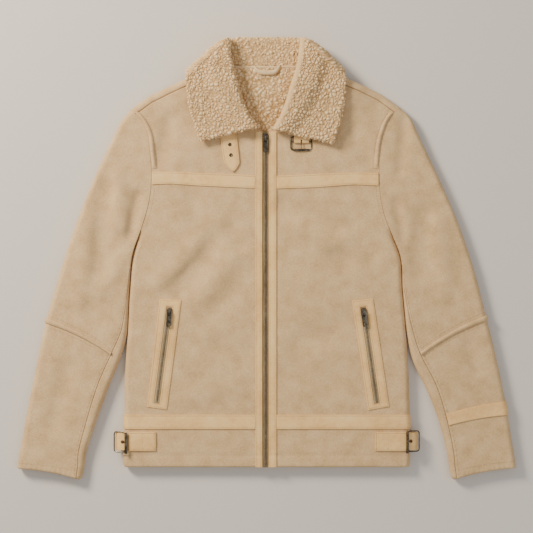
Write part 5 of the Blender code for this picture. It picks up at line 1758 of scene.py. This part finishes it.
@dataclass
class Straps:
    """Leather straps and tabs of the throat buckle and the two side buckles."""

    trims: Trims
    sewing: Sewing
    bar_z: float = STACK + 1.8
    tab_radii: tuple[float, float] = (2.9, 1.4)
    hole: float = 2.4
    prong_slot: float = 1.45
    side_hole: float = 3.3
    bulge: float = 1.17

    def throat(self) -> None:
        """Builds the throat strap with its pointed end and two holes."""
        rows = THROAT_STRAP
        y = rows["y"][0] - spread(0, rows["y"][0] - rows["y"][-1], 1.4)
        left, right = (np.interp(y, rows["y"][::-1], rows[name][::-1])
                       for name in ("left", "right"))
        share = between(0, 1, 30, 1.6)
        plan = np.stack([left[:, None] + share * (right - left)[:, None],
                         np.broadcast_to(y[:, None], (len(y), len(share)))], -1)
        made = self.trims.lay("throat_strap_leather", plan, "throat_strap", ("first", "last"),
                              thickness=STRAP)
        bored(made, [(x, level, self.hole) for x, level in THROAT_HOLES], 14, STACK + 9)
        for k, (x, level) in enumerate(THROAT_HOLES):
            self.eyelet(f"throat_eyelet_{k}", x, level)

    def eyelet(self, name: str, x: float, y: float) -> None:
        """Builds the small dark eyelet that lines a hole of the throat strap.

        Args:
            name: The piece's name.
            x: Place of the hole across the jacket.
            y: Its place along it.
        """
        section = table("out up", [(1.7, 0.2), (1.7, 2.9), (2.0, 3.25), (2.7, 3.4), (3.2, 3.2),
                                   (3.35, 2.75), (2.35, 2.72), (2.35, 0.2)])
        turn = np.arange(28) / 28 * 2 * math.pi
        ring = np.stack([np.cos(turn), np.sin(turn)], -1)
        plan = np.array([x, y]) + ring[:, None] * section["out"][None, :, None]
        z = float(top_z(np.array(x), np.array(y))) + SEAM + section["up"] - 0.1
        loop_object(name, stacked(plan, z), NICKEL)

    def tab(self) -> None:
        """Builds the tab that holds the throat buckle's bar, with the prong's slot."""
        left, right, bar_y, end_y = THROAT_TAB
        x = THROAT_BUCKLE[0]
        curl = np.radians(np.linspace(190, 100, 14))
        run = np.linspace(bar_y + 3, end_y, 12)
        across = between(left, right, 27, 1.6)[:, None]
        grids = [np.stack(np.broadcast_arrays(
            across, np.concatenate([bar_y + r * np.cos(curl), run]),
            self.bar_z + np.concatenate([r * np.sin(curl), np.full(len(run), r)])), -1)
            for r in self.tab_radii]
        outer, inner = half_round(*grids, {"start": 0.7, "end": 0.7})
        made = wall_object("throat_tab_leather", outer, inner, LEATHER_TRIM, "throat_tab")
        bored(made, [(x + 0.2, bar_y + shift, self.prong_slot)
                     for shift in (-3.5, -1.5, 0.5, 2.5)], 10, self.bar_z + 6)
        for edge in (left + 2.2, right - 2.2):
            self.sewing.add(np.stack(np.broadcast_arrays(
                edge, np.linspace(bar_y + 2, end_y, 8), self.bar_z + self.tab_radii[0]), -1))

    def side_pieces(self, side: Side) -> None:
        """Builds the tab and the strap of a side buckle, with the box and cross of its
        stitches.

        Args:
            side: Which half.
        """
        start, stop, top, bottom = SIDE_TAB[side.value]
        out = start + spread(0, stop - start, 1.8)
        y = between(top, bottom, 34, 1.8)
        plan = np.stack(np.meshgrid(side.sign * out, y), -1)
        self.trims.lay("side_tab_leather_" + side.value, plan, "side_tab_" + side.value,
                       ("start", "end", "first"), thickness=STRAP)
        box = [(start + 2.4, top - 3), (start + 24, top - 3), (start + 24, bottom + 3),
               (start + 2.4, bottom + 3)]
        corners = np.array(box) * (side.sign, 1)
        for pair in ((1, 2), (0, 2), (1, 3)):
            self.sewing.on_top(corners[list(pair)], SEAM + STRAP - THREAD_SUNK)
        bar_x, high, low = SIDE_BAR[side.value]
        path = np.stack([SIDE_LOOP["out"] * self.bulge, SIDE_LOOP["up"]], -1)
        at = np.linspace(0, len(path) - 1, 60)
        path = np.stack([through(np.arange(len(path)), part, at) for part in path.T], -1)
        along = np.gradient(path, axis=0)
        along /= np.linalg.norm(along, axis=1)[:, None]
        normal = np.stack([-along[:, 1], along[:, 0]], -1)
        level = between(top - 1, bottom + 1, 32, 1.8)[:, None]
        lines = (path + normal * STRAP / 2, path - normal * STRAP / 2)
        grids = [np.stack(np.broadcast_arrays(bar_x + side.sign * line[:, 0], level,
                                              line[:, 1]), -1) for line in lines]
        outer, inner = half_round(*grids, {"start": 0.8, "end": 0.8, "last": 0.8})
        made = wall_object("side_strap_leather_" + side.value, outer, inner, LEATHER_TRIM,
                           "side_strap_" + side.value)
        bored(made, [(bar_x + side.sign * 6.3, (high + low) / 2 + 2, self.side_hole)], 14, 30)

    def build(self) -> None:
        """Builds every strap and tab."""
        self.throat()
        self.tab()
        for side in Side:
            self.side_pieces(side)


@dataclass
class Seams:
    """Raised seams and topstitching of the shell, and the loop in the neck."""

    sewing: Sewing
    armhole_y: tuple[float, float] = (263, 162)
    armhole_in: float = 5.6
    cuff_row: float = 9.72
    beside_elbow: float = 0.13
    loop_half: float = 24.0
    piping: float = 2.6

    def armhole(self, side: Side) -> None:
        """Builds the raised seam along the armhole, on the body.

        Args:
            side: Which half.
        """
        at = np.linspace(0, 1, 60)
        y = self.armhole_y[0] + (self.armhole_y[1] - self.armhole_y[0]) * at
        spine = np.stack([side.sign * (side_out(side, y) - self.armhole_in), y], -1)
        steps, up = rows_at(WELT_STEPS, np.linspace(0, 5, 21)).values()
        taper = np.minimum(ease(at, -0.02, 0.06), 1 - ease(at, 0.92, 1.02))
        plan = spine[:, None] - 1.2 * steps[None, :, None] * np.array([side.sign, 0])
        floor = top_z(plan[..., 0], plan[..., 1]) + SEAM
        high = 0.25 + 1.25 * (up - 0.25)[None] * taper[:, None]
        outer = stacked(plan, floor + high)
        outer = outer + (0, 0, 0.5) * puckers(outer, ("first",), 8)[..., None]
        wall_object("armhole_seam_" + side.value, outer, stacked(plan, floor), SUEDE,
                    "armhole_welt_" + side.value)

    def topstitching(self) -> None:
        """Adds the rows of stitches along the hem, and beside the armholes up to the shoulders."""
        for side in Side:
            out = np.linspace(18, float(side_out(side, HEM_STITCH_Y)) - 10, 60)
            self.sewing.on_top(np.stack([side.sign * out, np.full(60, HEM_STITCH_Y)], -1))
            for low, high, inward in ((58, 128, 6.5), (160, 262, 11.5)):
                y = np.linspace(low, high, 40)
                out = side_out(side, y) - inward
                self.sewing.on_top(np.stack([side.sign * out, y], -1))

    def sleeve_rows(self, sleeve: "Sleeve") -> None:
        """Adds the rows of stitches of a sleeve: beside the elbow seam, at the cuff, and
        along the under seam.

        Args:
            sleeve: The sleeve, already built.
        """
        for place in (sleeve.elbow - self.beside_elbow, sleeve.elbow + self.beside_elbow,
                      self.cuff_row):
            curves, seams = sleeve.sections(np.array([place]))
            end = sleeve.length(curves[0]) - seams[0] - 4
            point, normal = sleeve.around(curves[0], np.linspace(6, end, 50), False)
            self.sewing.add(point, normal)
        curves, seams = sleeve.sections(np.linspace(3.2, 9.9, 90))
        row = [sleeve.around(curve, np.array([sleeve.length(curve) - seam - 4.5]), False)
               for curve, seam in zip(curves, seams)]
        self.sewing.add(*(np.concatenate(part) for part in zip(*row)))

    def loop(self) -> None:
        """Builds the hanger loop, a rolled strip that sags below the neck seam."""
        share = np.linspace(-1, 1, 60)
        wide = 8.5 - 1.5 * share**2
        across = np.linspace(0, 1, 13)
        low = 330.0 + 13.0 * share**4
        x = self.loop_half * share * (1 - 0.07 * across[:, None])
        y = low + across[:, None] * wide
        plan = np.stack([x, np.broadcast_to(y, x.shape)], -1)
        base = lift(plan[..., 0], plan[..., 1]) + CLOTH + 1.5 + 3.0 * (1 - share**4)
        high = 2.2 + 1.3 * np.sin(np.pi * across)[:, None]
        outer, inner = half_round(stacked(plan, base + high), stacked(plan, base),
                                  {"start": 1.0, "end": 1.0})
        wall_object("hanger_loop_strip", outer, inner, FACING, "hanger_loop")

    def neck_strip(self) -> None:
        """Builds the rolled strip that covers the neck seam."""
        x = np.linspace(-72, 70, 120)
        path = np.stack([x, 344.6 + 1.8 * (x / 72) ** 4 + 0.5 * drift(
            np.stack([x, x * 0, x * 0], -1), 17, 12), np.full(120, 17.4)], -1)
        tubes_object("neck_seam_piping", rings_along(path, self.piping, 0.8)[None], FACING)

    def build(self) -> None:
        """Builds the raised seams, the loop and the topstitching."""
        self.loop()
        self.neck_strip()
        self.topstitching()
        for side in Side:
            self.armhole(side)


@dataclass
class Hardware:
    """The metal: sliders, pulls, buckles and the prong, with worn round edges."""

    still: tuple[str, ...] = ("main_zip_slider", "pocket_left_slider", "pocket_right_slider",
                              "throat_buckle", "side_buckle_left", "side_buckle_right")
    turning: tuple[str, ...] = ("main_zip_pull", "pocket_left_pull", "pocket_right_pull",
                                "throat_prong")
    wear: float = 0.28

    def worn(self, name: str, body: str) -> None:
        """Builds a metal piece: its solid's shape, every sharp edge rounded off.

        Args:
            name: The solid's name.
            body: The body that it turns with.
        """
        solid = bpy.data.objects[name]
        work = bmesh.new()
        work.from_mesh(solid.data)
        work.transform(solid.matrix_world)
        bmesh.ops.remove_doubles(work, verts=work.verts, dist=0.002 * MM)
        bmesh.ops.dissolve_limit(work, angle_limit=math.radians(1), verts=work.verts,
                                 edges=work.edges)
        sharp = [edge for edge in work.edges
                 if edge.is_manifold and edge.calc_face_angle() > math.radians(28)]
        bmesh.ops.bevel(work, geom=sharp, offset=self.wear * MM, segments=2, profile=0.5,
                        affect="EDGES", clamp_overlap=True)
        bmesh.ops.triangulate(work, faces=[f for f in work.faces if len(f.verts) > 4])
        mesh = bpy.data.meshes.new(name + "_plated")
        work.to_mesh(mesh)
        work.free()
        add_piece(name + "_plated", mesh, NICKEL, body, name)

    def build(self) -> None:
        """Builds every metal piece."""
        for name in self.still:
            self.worn(name, BODY)
        for name in self.turning:
            self.worn(name, name)


# ---- picture
def add_light(name: str, place: tuple[float, float, float], size: float, power: float,
              colour: str) -> None:
    """A square area light at a place, turned towards the jacket.

    Args:
        name: The light's name.
        place: Where it stands, in metres.
        size: Length of its side, in metres.
        power: Its power, in watts.
        colour: Its colour, as #RRGGBB.
    """
    light = bpy.data.lights.new(name, "AREA")
    light.size, light.energy, light.color = size, power, linear(colour)[:3]
    made = bpy.data.objects.new(name, light)
    made.location = place
    made.rotation_euler = (-made.location).to_track_quat("-Z", "Y").to_euler()
    bpy.context.scene.collection.objects.link(made)


def build_stage() -> None:
    """A plain pale floor, a soft studio light from the picture's upper left, and the camera
    straight above, far off behind a long lens."""
    half, below = 3.0, -0.0004
    mesh = bpy.data.meshes.new("floor")
    mesh.from_pydata([(-half, -half, below), (half, -half, below), (half, half, below),
                      (-half, half, below)], [], [(0, 1, 2, 3)])
    paint = bpy.data.materials.new("pale_floor")
    paint.use_nodes = True
    shader = paint.node_tree.nodes["Principled BSDF"]
    shader.inputs["Base Color"].default_value = linear("#D9D3CA")
    shader.inputs["Roughness"].default_value = 0.8
    mesh.materials.append(paint)
    floor = bpy.data.objects.new("floor", mesh)
    bpy.context.scene.collection.objects.link(floor)
    add_light("key", (-1.7, 1.4, 1.35), 0.7, 98, "#FFF3E0")
    add_light("fill", (1.4, -0.8, 2.6), 2.4, 18, "#F2F4FF")
    world = bpy.data.worlds.new("studio")
    world.use_nodes = True
    sky = world.node_tree.nodes["Background"].inputs
    sky["Color"].default_value, sky["Strength"].default_value = linear("#F4F1EC"), 0.54
    bpy.context.scene.world = world
    camera = bpy.data.cameras.new("camera")
    sensor, away, shown = 36.0, 3.0, 0.9594
    camera.sensor_width, camera.lens = sensor, sensor * away / shown
    made = bpy.data.objects.new("camera", camera)
    made.location = (-0.0009, -0.0144, away + 0.018)
    bpy.context.scene.collection.objects.link(made)
    bpy.context.scene.camera = made


def main() -> None:
    """Builds the stage, then the jacket's sub-assemblies in order."""
    logging.basicConfig(level=logging.INFO)
    build_stage()
    leather_sewing = Sewing("leather_stitches", THREAD)
    suede_sewing = Sewing("suede_stitches", SUEDE_THREAD, pitch=4.4, length=3.2, radius=0.4)
    trims, seams = Trims(leather_sewing), Seams(suede_sewing)
    LOG.info("Body: back, fronts, yokes and hem bands")
    Body().build()
    for side in Side:
        LOG.info("Sleeve and pocket, %s", side.value)
        sleeve = Sleeve(side)
        sleeve.build()
        seams.sleeve_rows(sleeve)
        Pocket(side, leather_sewing).build()
    LOG.info("Collar")
    Collar().build()
    LOG.info("Leather trims")
    trims.build()
    LOG.info("Main zip")
    chain = Chain("main_zip", (ZIP_X - 0.25, FRONT_TOP_Y - 1), (ZIP_X - 0.25, HEM_Y), 5.0,
                  STACK - 1.4, False, tooth=(3.2, 1.05, 2.0))
    chain.tape("zip_tape", 0.8)
    chain.teeth("zip_chain", 24, 1.1)
    for title, part in (("Straps", Straps(trims, leather_sewing)), ("Seams", seams),
                        ("Hardware", Hardware())):
        LOG.info(title)
        part.build()
    LOG.info("Stitches")
    leather_sewing.lay()
    suede_sewing.lay()


if __name__ == "__main__":
    main()
